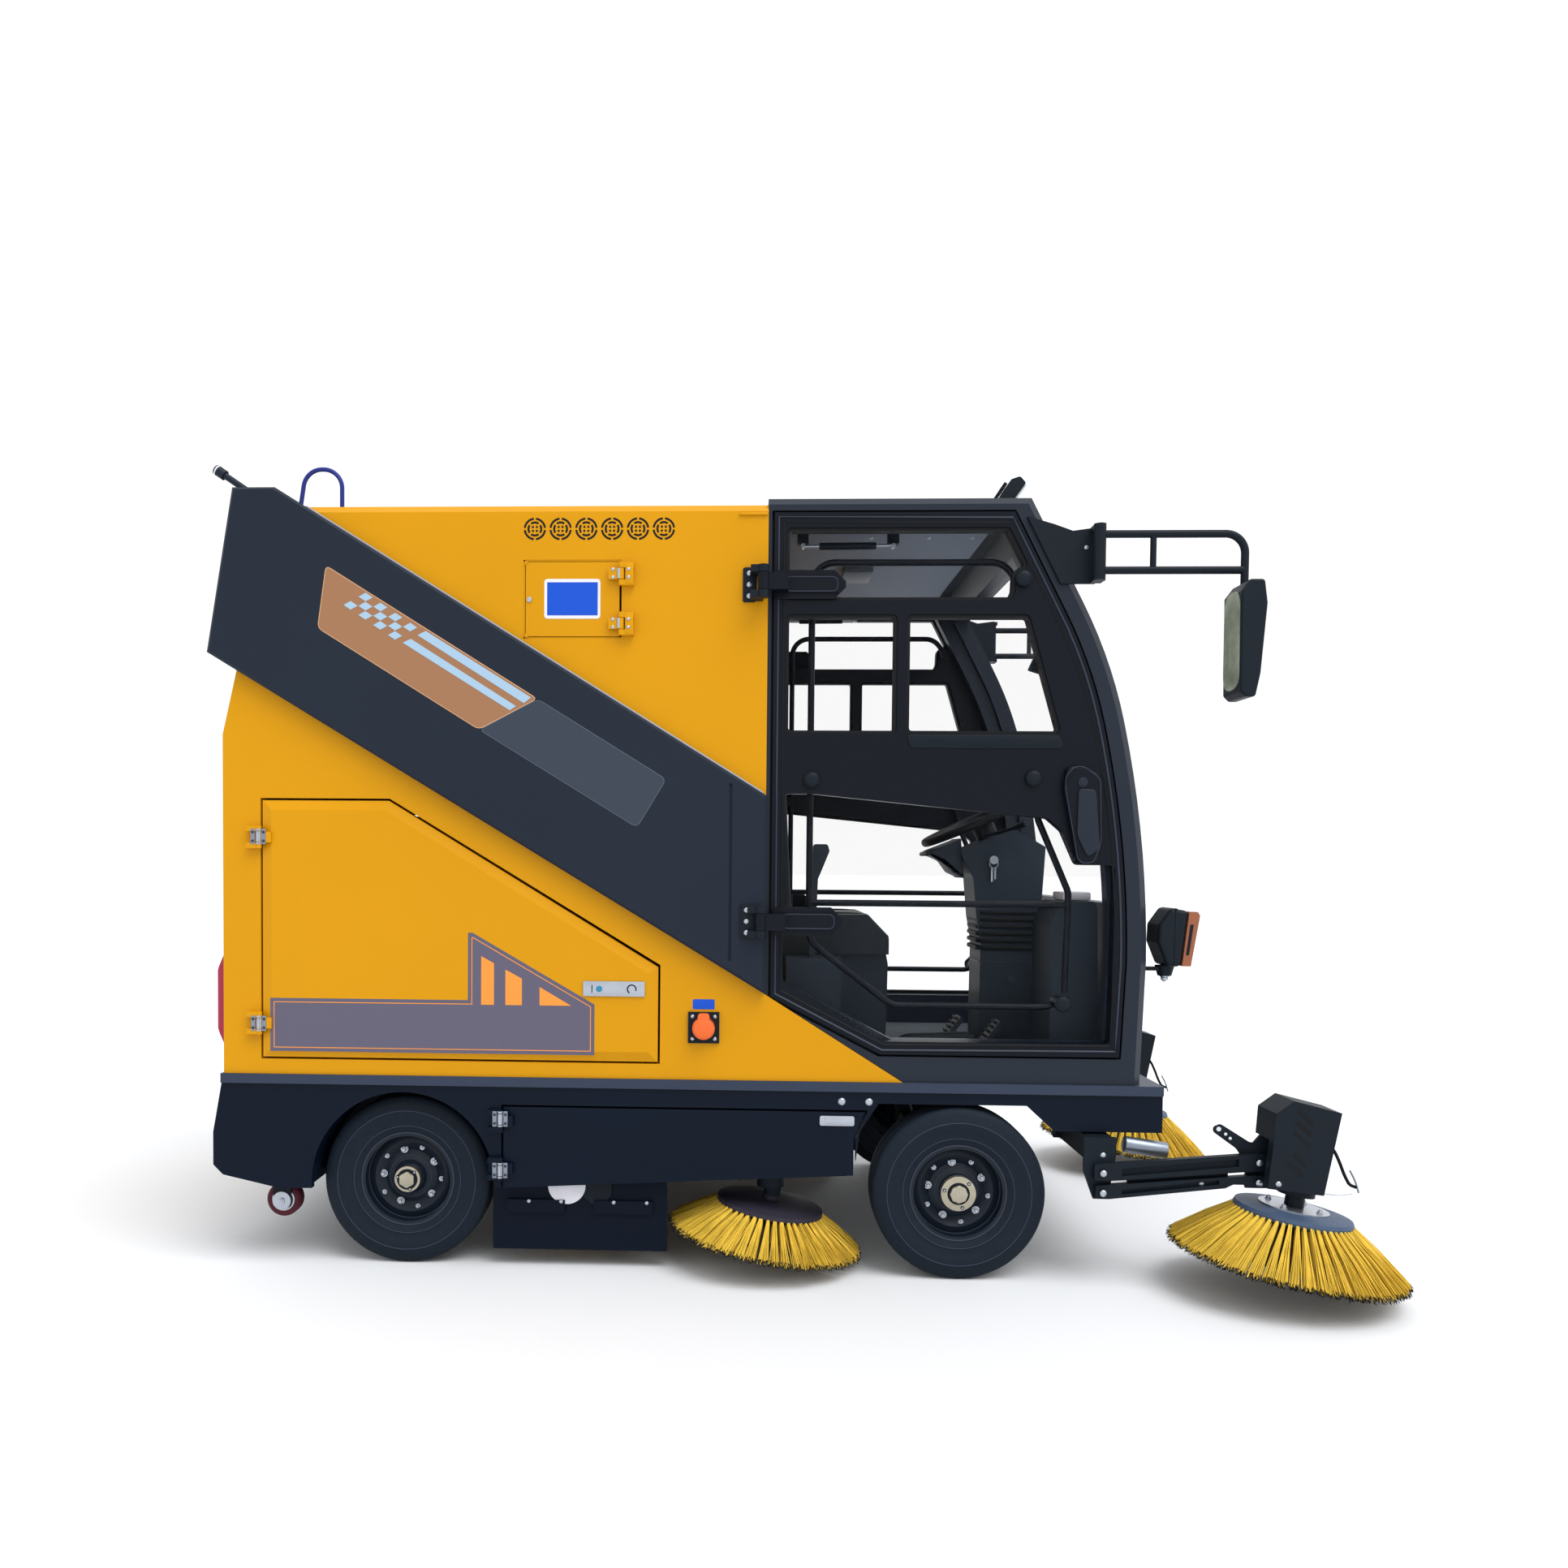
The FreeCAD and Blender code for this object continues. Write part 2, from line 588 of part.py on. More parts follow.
def brush_brackets():
    """Outriggers of one side: front brush hanger, mid brush hanger, roller fork, brush bearing."""
    body = new_body("brackets_right")
    outer = d.rail_y + d.rail_width / 2
    top = d.deck_low
    link_y = 0 - d.arm_y
    plate = d.arm_plate
    # front hanger: drop plate, arm below the nose, and an ear with two pins
    hang_rear = d.link_rear_x - 44
    hang_front = d.link_rear_x + 40
    ear_top = d.nose_low - d.swing_gap
    solid(body, "XZ", 0 - outer - 16, 0 - outer, rect(hang_rear, hang_front, ear_top - 70, top))
    solid(body, "XZ", link_y, 0 - outer, rect(hang_rear + 8, hang_front - 8, ear_top - 62, ear_top))
    ear = [(hang_rear, ear_top), (hang_rear, d.link_low + 50), (hang_rear + 26, d.link_low - 22),
           (hang_front - 20, d.link_low - 22), (hang_front, d.link_high + 40), (hang_front, ear_top)]
    solid(body, "XZ", link_y - plate, link_y, ear)
    for height in (d.link_high, d.link_low):
        pin_end = link_y - plate - d.link_thick - d.seat_gap - 8
        rod(body, "XZ", pin_end, link_y - plate, d.link_rear_x, height, d.link_pin)
    # mid brush hanger with its upright guide post
    far = 0 - d.mid_y - 34
    solid(body, "XZ", far, 0 - outer, rect(d.mid_x - 40, d.mid_x + 40, d.rail_low, top - 20))
    rod(body, "XY", d.mid_z + 118, d.rail_low, d.mid_x, 0 - d.mid_y, d.mid_post)
    # bearing plate of the main brush
    bearing = d.main_half + 6
    solid(body, "XZ", 0 - bearing - 12, 0 - outer, rect(d.main_x - 30, d.main_x + 30,
                                                        d.rail_low, top - 20))
    solid(body, "XZ", 0 - bearing - 12, 0 - bearing,
          [(d.main_x - 60, top - 20), (d.main_x - 40, d.main_z - 40), (d.main_x + 40, d.main_z - 40),
           (d.main_x + 60, top - 20)])
    rod(body, "XZ", 0 - bearing, 0 - bearing + 30, d.main_x, d.main_z, d.spindle_radius)
    # roller fork
    roller_in = d.roller_width / 2 + 2
    solid(body, "XY", d.rail_low, top, rect(d.roller_x - 40, d.roller_x + 40,
                                            0 - d.roller_y - roller_in - 10, 0 - outer))
    for inner in (0 - d.roller_y - roller_in - 10, 0 - d.roller_y + roller_in):
        solid(body, "XZ", inner, inner + 10,
              [(d.roller_x - 40, d.rail_low + 10), (d.roller_x - 22, d.roller_z - 18),
               (d.roller_x + 22, d.roller_z - 18), (d.roller_x + 40, d.rail_low + 10)])
    rod(body, "XZ", 0 - d.roller_y - roller_in - 10, 0 - d.roller_y + roller_in + 10,
        d.roller_x, d.roller_z, d.link_pin)
    # jacking pad below the rail
    rod(body, "XY", d.rail_low - 8, d.rail_low, d.jack_x, 0 - d.rail_y, d.jack_radius)
    return body


def deck():
    """The floor plate whose edge shows as a pale strip all round."""
    body = new_body("deck_plate")
    half = d.body_half + d.deck_lip
    solid(body, "XY", d.deck_low, d.deck_top, rect(d.deck_rear, d.deck_front, 0 - half, half))
    keep("deck_plate", body)


def skirts():
    """Lower side panels with wheel arches, nose and rear bumper, open below."""
    body = new_body("skirt_shell")
    half = d.body_half
    sheet_in = half - d.skirt_sheet
    rear_top = d.deck_rear
    nose = d.deck_front
    outer = [(rear_top, d.deck_low), (bumper_rear, d.bumper_kink), (bumper_rear, d.bumper_low + 27),
             (bumper_rear + 27, d.bumper_low), (bumper_rear + 185, d.bumper_bottom),
             (d.skirt_door_rear, d.skirt_low), (d.skirt_door_front, d.skirt_low_front),
             (d.nose_rear, d.skirt_low_front), (d.nose_rear + 91, d.nose_low),
             (nose, d.nose_low), (nose, d.deck_low)]
    solid(body, "XZ", 0 - half, half, outer)
    wall = d.skirt_sheet
    below = d.bumper_bottom - 60
    inner = [(rear_top + wall, d.deck_low), (bumper_rear + wall, d.bumper_kink), (bumper_rear + wall, below),
             (nose - wall, below), (nose - wall, d.deck_low)]
    hollow(body, "XZ", 0 - sheet_in, sheet_in, inner)
    bore(body, "XZ", 0 - half, half, rear_axle_x, d.wheel_radius, d.wheel_radius + d.arch_gap)
    crown = d.wheel_radius * 2 + d.arch_top
    rear_foot = d.skirt_door_front - 14
    hollow(body, "XZ", 0 - half, half,
           [(rear_foot, below), (d.nose_rear + 92, below), (d.nose_rear + 88, d.nose_low - 2),
            (d.nose_rear + 12, crown), (d.skirt_door_front + 66, crown), (rear_foot + 30, d.nose_low - 10)])
    door = [(d.skirt_door_rear, below), (d.skirt_door_front + d.swing_gap, below),
            (d.skirt_door_front + d.swing_gap, d.skirt_door_top - 80),
            (d.skirt_door_front + d.skirt_door_lean + d.swing_gap, d.skirt_door_top),
            (d.skirt_door_rear, d.skirt_door_top)]
    hollow(body, "XZ", 0 - half, half, door)
    lugs = new_body("skirt_hinges")
    hinge_pins(lugs, d.skirt_door_rear, half, (d.skirt_low + 56, d.skirt_door_top - 42))
    liner = arch_liner(sheet_in)
    keep("skirt_panels", joined("skirt_panels", [body, lugs, other_side("skirt_hinges_left", lugs),
                                                 liner, other_side("arch_liner_left", liner)]))


def arch_liner(sheet_in):
    """Half-round guard inside a rear wheel arch, with an inner wall open round the axle."""
    body = new_body("arch_liner_right")
    x = rear_axle_x
    z = d.wheel_radius
    radius = d.wheel_radius + d.arch_gap
    wall = mid_y["rear"] - d.tyre_width / 2 - 9
    back = 0 - wall + d.liner_sheet
    rod(body, "XZ", 0 - sheet_in, back, x, z, radius + d.liner_sheet)
    bore(body, "XZ", 0 - sheet_in, 0 - wall, x, z, radius)
    bore(body, "XZ", 0 - wall, back, x, z, d.liner_hole)
    hollow(body, "XZ", 0 - sheet_in, back, rect(x - radius - 20, x + radius + 20, z - radius - 20, d.skirt_low))
    clear = d.curtain_rear - 6
    hollow(body, "XZ", 0 - sheet_in, 34 - sheet_in, rect(clear, x + radius + 20, d.skirt_low - 1, d.deck_low))
    return body


def hinge_pins(body, x, face, heights, forward=True):
    """Fixed half of small leaf hinges: plate on the face, pin standing off it, for each height."""
    out = face + d.panel_hinge_out
    half = d.panel_hinge_height / 2
    turn = -1 if forward else 1
    for height in heights:
        low = height - half
        high = height + half
        far = x + 34 * turn
        near = x + (d.panel_barrel + 2) * turn
        sides = (far, near) if forward else (near, far)
        solid(body, "XZ", 0 - face - 4, 0 - face, rect(sides[0], sides[1], low, high))
        lug = d.panel_hinge_height / 4
        for start in (low, high - lug):
            solid(body, "XY", start, start + lug - 1,
                  rect(sides[0], x, 0 - out - d.panel_barrel + 3, 0 - face) if forward
                  else rect(x, sides[1], 0 - out - d.panel_barrel + 3, 0 - face))
            rod(body, "XY", start, start + lug - 1, x, 0 - out, d.panel_barrel)
        rod(body, "XY", low, high - 1, x, 0 - out, d.panel_pin)


def hinge_leaf(body, x, face, heights, forward=True):
    """Moving half of the same hinge: a sleeve round the pin and its plate on the panel."""
    out = face + d.panel_hinge_out
    quarter = d.panel_hinge_height / 4
    turn = 1 if forward else -1
    for height in heights:
        low = height - quarter + 0.5
        high = height + quarter - 1.5
        far = x + 34 * turn
        sides = (x, far) if forward else (far, x)
        solid(body, "XY", low, high, rect(sides[0], sides[1], 0 - out - 3, 0 - face - 6 + 3))
        rod(body, "XY", low, high, x, 0 - out, d.panel_barrel)
        plate = (x + 12 * turn, far)
        plate = plate if forward else (far, x + 12 * turn)
        solid(body, "XY", low, high, rect(plate[0], plate[1], 0 - out, 0 - face))
        bore(body, "XY", low, high, x, 0 - out, d.panel_pin + d.fit_gap)


def skirt_door():
    """Lower side door between the wheels; its front edge follows the wheel arch."""
    body = new_body("skirt_door_right")
    gap = d.swing_gap
    rear = d.skirt_door_rear + gap
    top = d.skirt_door_top - gap
    face = d.body_half
    front = d.skirt_door_front
    solid(body, "XZ", 0 - face, d.skirt_sheet - face,
          [(rear, d.skirt_low), (front, d.skirt_low_front), (front, d.skirt_door_top - 80),
           (front + d.skirt_door_lean * 0.9, top), (rear, top)])
    hinge_leaf(body, d.skirt_door_rear, face, (d.skirt_low + 56, d.skirt_door_top - 42))
    keep("skirt_door_right", body)
    keep("skirt_door_left", other_side("skirt_door_left", body))


def body_side(offset):
    """Side profile of the yellow body, drawn in from its outside by offset."""
    rear = d.body_rear + offset
    return [(rear, d.deck_top + offset), (d.body_front - offset, d.deck_top + offset),
            (d.body_front - offset, d.body_top - offset),
            (rear + d.body_lean_x + d.body_top_lean, d.body_top - offset),
            (rear + d.body_lean_x, d.body_kink + d.body_lean_z), (rear, d.body_kink)]


def body_shell():
    """Hollow box body with the openings of its doors and a sloping cheek below the cab door."""
    body = new_body("body_box")
    half = d.body_half
    wall = d.body_wall
    block = solid(body, "XZ", 0 - half, half, body_side(Size(0, "0")))
    dressed(body, "Chamfer", block, d.edge_chamfer,
            lambda p: near(p.z, d.body_top) and near(abs(p.y), half))
    hollow(body, "XZ", wall - half, half - wall, body_side(wall))
    hollow(body, "XZ", 0 - half, half, side_door_outline(Size(0, "0")))
    hollow(body, "XZ", 0 - half, 0 - half + wall,
           rect(d.water_rear, d.water_front, d.water_low, d.water_top))
    rear = d.body_rear
    door_half = half - d.rear_door_inset
    hollow(body, "YZ", rear, rear + wall, rect(0 - door_half, door_half, d.rear_door_low, d.rear_door_top))
    for low in (0 - half, half - wall):
        solid(body, "XZ", low, low + wall,
              [(d.body_front, d.deck_top), (d.cheek_tip, d.deck_top), (d.body_front, d.cheek_top)])
    vents(body)
    lugs = new_body("side_hinges")
    hinge_pins(lugs, d.side_door_rear, half, (d.side_door_low + 100, d.side_door_top - 106))
    water = new_body("water_hinges")
    hinge_pins(water, d.water_front, half, (d.water_low + 38, d.water_top - 40), False)
    tail = new_body("tail_hinges")
    rear_hinge_pins(tail)
    keep("body_shell", joined("body_shell", [body, lugs, other_side("side_hinges_left", lugs), water, tail]))


def vents(body):
    """A row of round vents near the roof, each three rings of four curved slots."""
    outline = extrude(body, "XZ", 0 - d.body_half, d.body_half, True)
    for ring in range(3):
        inner = d.vent_ring + d.vent_step * ring
        outer = inner + d.vent_slot
        margin = math.degrees(3.2 / plain(inner + d.vent_slot / 2))
        for quarter in range(4):
            start = 90 * quarter + 45 * (ring % 2) + margin
            finish = start + 90 - 2 * margin
            low = Size(start, "%.4g" % start)
            high = Size(finish, "%.4g" % finish)
            x = d.vent_first
            z = d.vent_z
            outline.loop([(x + inner * cosine(low), z + inner * sine(low)),
                          (x + outer * cosine(low), z + outer * sine(low), outer),
                          (x + outer * cosine(high), z + outer * sine(high)),
                          (x + inner * cosine(high), z + inner * sine(high), 0 - inner)])
    slots = take(body, outline, 0 - d.body_half, d.body_half)
    doc.recompute()
    row = body.newObject("PartDesign::LinearPattern", "vent_row")
    row.Originals = [slots]
    row.Direction = (outline.sketch, ["H_Axis"])
    row.Length = plain(d.vent_pitch * (d.vent_count - 1))
    bind(row, "Length", d.vent_pitch * (d.vent_count - 1))
    row.Occurrences = int(plain(d.vent_count))
    bind(row, "Occurrences", d.vent_count)
    body.Tip = row


def side_door_outline(gap):
    return [(d.side_door_rear + gap, d.side_door_low + gap), (d.side_door_front - gap, d.side_door_low + gap),
            (d.side_door_front - gap, d.side_door_front_top - gap),
            (d.side_door_kink - gap * 0.3, d.side_door_top - gap), (d.side_door_rear + gap, d.side_door_top - gap)]


def side_door():
    """Large door with a raised field whose edges slope back like a mitred frame."""
    body = new_body("side_door_right")
    face = 0 - d.body_half
    solid(body, "XZ", face, d.panel_thick + face, side_door_outline(d.swing_gap))
    raised = extrude(body, "XZ", face, face, False)
    raised.loop(side_door_outline(d.swing_gap + 3))
    pad = body.newObject("PartDesign::Pad", "side_door_field")
    pad.Profile = raised.sketch
    pad.Length = plain(d.bevel_height)
    bind(pad, "Length", d.bevel_height)
    pad.TaperAngle = plain(d.bevel_lean)
    bind(pad, "TaperAngle", d.bevel_lean)
    features.append(pad)
    hinge_leaf(body, d.side_door_rear, d.body_half, (d.side_door_low + 100, d.side_door_top - 106))
    keep("side_door_right", body)
    keep("side_door_left", other_side("side_door_left", body))


def water_door():
    body = new_body("water_door")
    gap = d.swing_gap
    face = d.body_half
    solid(body, "XZ", 0 - face, d.panel_thick - face,
          rect(d.water_rear + gap, d.water_front - gap, d.water_low + gap, d.water_top - gap))
    hinge_leaf(body, d.water_front, face, (d.water_low + 38, d.water_top - 40), False)
    keep("water_door", body)


def rear_hinge_pins(body):
    """Fixed halves of the rear door's hinges, on the driver's left edge of the rear face."""
    face = d.body_rear
    y = d.body_half - d.rear_door_inset
    out = d.panel_hinge_out
    half = d.panel_hinge_height / 2
    lug = d.panel_hinge_height / 4
    for height in (d.rear_door_low + 110, d.rear_door_top - 110):
        for start in (height - half, height + half - lug):
            solid(body, "XY", start, start + lug - 1,
                  rect(face - out - 3, face, y, y + 34))
            rod(body, "XY", start, start + lug - 1, face - out, y, d.panel_barrel)
        rod(body, "XY", height - half, height + half - 1, face - out, y, d.panel_pin)


def rear_door():
    """Flat tail door, hinged on the driver's left."""
    body = new_body("rear_door")
    gap = d.swing_gap
    face = d.body_rear
    y = d.body_half - d.rear_door_inset
    half = y - gap
    out = d.panel_hinge_out
    quarter = d.panel_hinge_height / 4
    solid(body, "YZ", face, face + d.panel_thick, rect(0 - half, half, d.rear_door_low + gap,
                                                       d.rear_door_top - gap))
    for height in (d.rear_door_low + 110, d.rear_door_top - 110):
        low = height - quarter + 0.5
        high = height + quarter - 1.5
        solid(body, "XY", low, high, rect(face - out - 3, face - out + 3, y - 40, y))
        solid(body, "XY", low, high, rect(face - out - 3, face, y - 40, y - 14))
        rod(body, "XY", low, high, face - out, y, d.panel_barrel)
        bore(body, "XY", low, high, face - out, y, d.panel_pin + d.fit_gap)
    keep("rear_door", body)


def slant_cover():
    """Proud dark side bands that climb to a hood across the rear, with a camera stalk on top."""
    body = new_body("cover_band")
    wide = d.body_half + d.cover_proud
    rear_low = d.cover_front_low + (d.body_front - bumper_rear) * tangent(d.cover_slope_low)
    top_rear = bumper_rear + d.hood_lean
    run = (d.hood_top - d.cover_front_top) / tangent(d.cover_slope)
    top_front = d.body_front - run
    band = [(d.body_front, d.cover_front_low), (d.body_front, d.cover_front_top),
            (top_front, d.hood_top), (top_rear, d.hood_top), (bumper_rear, rear_low)]
    block = solid(body, "XZ", 0 - wide, wide, band)
    dressed(body, "Chamfer", block, d.cover_edge, lambda p: near(abs(p.y), wide))
    hollow(body, "XZ", 0 - d.body_half, d.body_half,
           [(d.body_rear, d.deck_top), (d.body_front + 40, d.deck_top), (d.body_front + 40, d.body_top),
            (d.body_rear + d.body_lean_x + d.body_top_lean, d.body_top),
            (d.body_rear + d.body_lean_x, d.body_kink + d.body_lean_z), (d.body_rear, d.body_kink)])
    hollow(body, "XZ", 0 - d.body_half, d.body_half,
           rect(top_front + 25, d.body_front + 40, d.body_top - 1, d.hood_top + 1))
    for side in (-1, 1):
        low = wide * side - 6 if side > 0 else 0 - wide
        seam = d.seam_x
        foot = d.cover_front_low + (d.body_front - seam) * tangent(d.cover_slope_low) + 30
        head = d.cover_front_top + (d.body_front - seam) * tangent(d.cover_slope) - 30
        hollow(body, "XZ", low, low + 6, rect(seam, seam + d.seam_slot, foot, head))
    stalk = new_body("camera_stalk")
    rod(stalk, "XY", Size(-12, "-12"), d.stalk_length, 0, 0, d.stalk_radius)
    rod(stalk, "XY", d.stalk_length - 30, d.stalk_length, 0, 0, d.stalk_radius + 5)
    stand(stalk, d.stalk_x, 0 - d.body_half + d.stalk_inset, d.hood_top, 0 - d.stalk_lean)
    keep("slant_cover", joined("slant_cover", [body, stalk]))


def front_curve(offset, top, low):
    """Front edge of the cab from the bottom up, drawn in by offset: two arcs, then a straight."""
    first = d.curve_low - offset
    second = d.curve_top - offset
    centre_x = d.brow_x - d.curve_low
    knee_x = centre_x + first * cosine(d.lean_low)
    knee_z = d.brow_z + first * sine(d.lean_low)
    high_x = centre_x + (d.curve_low - d.curve_top) * cosine(d.lean_low)
    high_z = d.brow_z + (d.curve_low - d.curve_top) * sine(d.lean_low)
    bend_x = high_x + second * cosine(d.lean_top)
    bend_z = high_z + second * sine(d.lean_top)
    end_x = bend_x - (top - bend_z) * tangent(d.lean_top)
    return [(d.brow_x - offset - d.chin_back, low), (d.brow_x - offset, d.brow_z, first),
            (knee_x, knee_z, second), (bend_x, bend_z), (end_x, top)]


def door_outline(gap, top, low):
    """Outline of the cab door, drawn in by gap; its foot rises towards the hinges."""
    front = front_curve(d.door_inset + gap, top, low)
    return front + [(d.door_rear + gap, top), (d.door_rear + gap, d.door_low_rear + gap),
                    (d.door_low_x + gap, low)]


def cab_frame():
    """Cab: roof, front, pillars and sills, recessed for the doors and open to the screen."""
    body = new_body("cab_frame")
    half = cab_half
    inner = cab_half - d.cab_side_wall
    rear = d.body_front
    block = solid(body, "XZ", 0 - half, half,
                  front_curve(Size(0, "0"), d.cab_top, d.deck_top) + [(rear, d.cab_top), (rear, d.deck_top)])
    dressed(body, "Chamfer", block, d.edge_chamfer,
            lambda p: near(abs(p.y), half) and p.z > plain(d.brow_z) - 1 and p.x > plain(rear) - 1)
    roof = d.cab_top - d.cab_roof
    hollow(body, "XZ", 0 - inner, inner,
           front_curve(d.cab_front_wall, roof, d.deck_top) + [(rear - 5, roof), (rear - 5, d.deck_top)])
    deep = d.door_thick + d.swing_gap - d.cab_inset
    for side in (-1, 1):
        low = 0 - half if side < 0 else half - deep
        recess = door_outline(0 - d.swing_gap, d.door_top + d.swing_gap, d.door_low - d.swing_gap)
        hollow(body, "XZ", low, low + deep, recess)
        wedge_low = 0 - half if side < 0 else d.body_half - d.body_wall
        wedge_deep = d.body_wall - d.cab_inset
        hollow(body, "XZ", wedge_low, wedge_low + wedge_deep,
               [(rear - 1, d.deck_top), (d.cheek_tip + 1, d.deck_top), (rear - 1, d.cheek_top + 1)])
    opening = door_outline(d.door_lap, d.door_top - d.door_lap, d.door_low + d.door_lap)
    hollow(body, "XZ", 0 - half, half, opening)
    glazed = cab_half - d.screen_post
    hollow(body, "YZ", d.brow_x - 400, d.brow_x + 50, rect(0 - glazed, glazed, d.screen_low, d.screen_top))
    lugs = new_body("cab_hinges")
    x = d.door_hinge_x
    y = 0 - d.body_half - d.door_hinge_out
    half_hinge = d.hinge_height / 2
    plate_rear = x - 54
    for height in (d.door_hinge_low, d.door_hinge_high):
        low = height - half_hinge - d.hinge_lug
        high = height + half_hinge + d.hinge_lug
        seat = 0 - d.body_half - (d.cover_proud if height is d.door_hinge_low else 0)
        solid(lugs, "XZ", seat - 6, seat, rect(plate_rear, x - 17, low, high))
        for start in (low, high - d.hinge_lug):
            solid(lugs, "XY", start, start + d.hinge_lug - 1, rect(plate_rear + 20, x, y - 6, seat))
            rod(lugs, "XY", start, start + d.hinge_lug - 1, x, y, d.hinge_barrel)
        rod(lugs, "XY", low, high - 1, x, y, d.hinge_pin)
    keep("cab_hinge_plates", together("cab_hinge_plates", [lugs, other_side("cab_hinges_left", lugs)]))
    keep("cab_frame", body)


def windscreen():
    """Bent screen, a band of the cab's front curve, cut square at its foot and head."""
    body = new_body("windscreen")
    half = cab_half - d.screen_post - d.seat_gap
    low = d.screen_low + d.seat_gap
    top = d.screen_top - d.seat_gap
    front = front_curve(d.screen_inset, d.cab_top, d.deck_top)
    back = front_curve(d.screen_inset + d.glass, d.cab_top, d.deck_top)
    solid(body, "XZ", 0 - half, half, band_between(front, back))
    hollow(body, "XZ", 0 - half, half, rect(d.body_front, d.overall_half, top, d.cab_top + 50))
    hollow(body, "XZ", 0 - half, half, rect(d.body_front, d.overall_half, d.deck_top - 50, low))
    keep("windscreen", body)


def band_between(front, back):
    """A closed band from a curve and the same curve drawn in, the second run backwards."""
    back_points = [point[:2] for point in reversed(back)]
    back_arcs = [back[i][2] if len(back[i]) == 3 else None for i in range(len(back) - 1)]
    closed = list(front[:-1]) + [front[-1][:2]]
    for index, point in enumerate(back_points):
        number = len(back) - 2 - index
        arc = back_arcs[number] if 0 <= number < len(back_arcs) else None
        closed.append(point if arc is None else (point[0], point[1], 0 - arc))
    return closed


def cab_door():
    """Cab door with window openings, hinge arms, handle and inner guard tube; glass is separate."""
    body = new_body("cab_door_right")
    face = 0 - d.body_half
    inside = face + d.door_thick
    zero = Size(0, "0")
    solid(body, "XZ", face, inside, door_outline(zero, d.door_top, d.door_low))
    for opening in pane_outlines(zero):
        hollow(body, "XZ", face, inside, opening)
    handle(body, face)
    guard_tubes(body, inside)
    x = d.door_hinge_x
    y = face - d.door_hinge_out
    root = d.door_rear + d.swing_gap
    for height in (d.door_hinge_low, d.door_hinge_high):
        low = height - d.hinge_height / 2 + 0.5
        high = height + d.hinge_height / 2 - 1.5
        solid(body, "XY", low, high, rect(x, root + 30, y - 6, y + 6))
        solid(body, "XY", low, high, rect(root, root + 30, y, face))
        half = d.door_arm_height / 2
        tip = d.door_rear + d.door_arm
        solid(body, "XZ", face - 8, face,
              [(root, height - half), (tip - 30, height - half), (tip, height - half + 30, ),
               (tip, height + half - 30), (tip - 30, height + half), (root, height + half)])
        solid(body, "XZ", face - 14, face - 8, rect(root + 20, tip - 18, height - half + 16, height + half - 16))
        rod(body, "XY", low, high, x, y, d.hinge_barrel)
        bore(body, "XY", low, high, x, y, d.hinge_pin + d.fit_gap)
    keep("cab_door_right", body)
    keep("cab_door_left", other_side("cab_door_left", body))
    panes = new_body("door_glass_right")
    mid = face + d.door_thick / 2
    for opening in pane_outlines(d.seat_gap):
        solid(panes, "XZ", mid - d.glass / 2, mid + d.glass / 2, opening)
    x, z = boss_spots()[3]
    bore(panes, "XZ", mid - d.glass / 2, mid + d.glass / 2, x, z, d.boss_radius - 6 + d.seat_gap)
    keep("door_glass_right", panes)
    keep("door_glass_left", other_side("door_glass_left", panes))


def handle(body, face):
    """Outer handle: a rounded upright housing on the front stile."""
    rear = d.handle_rear
    front = d.handle_front
    low = d.handle_low
    top = d.handle_top
    outline = bent([(rear + 40, low), (front - 12, low), (front, low + 60), (front - 10, top - 20),
                    (front - 50, top), (rear + 8, top), (rear, top - 60)], 18, True)
    block = solid(body, "XZ", face - d.handle_proud, face, outline)
    dressed(body, "Fillet", block, Size(9, "9"), lambda p: near(p.y, face - d.handle_proud))


def boss_spots():
    """Where the guard tube's bosses pass the door: high, middle, front and foot."""
    return [(d.pane_post + 316, d.pane_bar_high + 57), (d.pane_rear + 73, d.band_low_rear + 37),
            (d.handle_rear - 75, d.band_low_rear + 44), (d.handle_rear + 11, d.pane_low + 107)]


def guard_tubes(body, inside):
    """Bent guard tube inside the door, carried by four bosses that pass through the door."""
    across = inside + d.guard_inset
    high = d.pane_bar_high + 114
    rear = d.pane_rear + 73
    foot = d.pane_low + 91
    boss_high, boss_mid, boss_front, boss_foot = boss_spots()
    for x, z in boss_spots():
        rod(body, "XZ", 0 - d.body_half - 10, 0 - d.body_half, x, z, d.boss_radius)
        rod(body, "XZ", inside - d.door_thick, across + d.guard_radius, x, z, d.boss_radius - 6)
    loop = bent([boss_foot, (boss_foot[0] - 20, foot), (d.pane_low_x + 34, foot), (rear, foot + 174),
                 (rear, high), (boss_high[0] - 40, high), boss_high], 60)
    waist = bent([boss_front, (boss_front[0] + 30, boss_front[1] - 110), (boss_foot[0] + 27, boss_mid[1] - 296),
                  (boss_foot[0] + 20, foot + 40)], 50)
    for number, route in enumerate((loop, waist)):
        guard_run(body, across, route)
    rod(body, "YZ", rear, boss_foot[0] + 27, across, boss_mid[1] - 330, d.guard_radius)


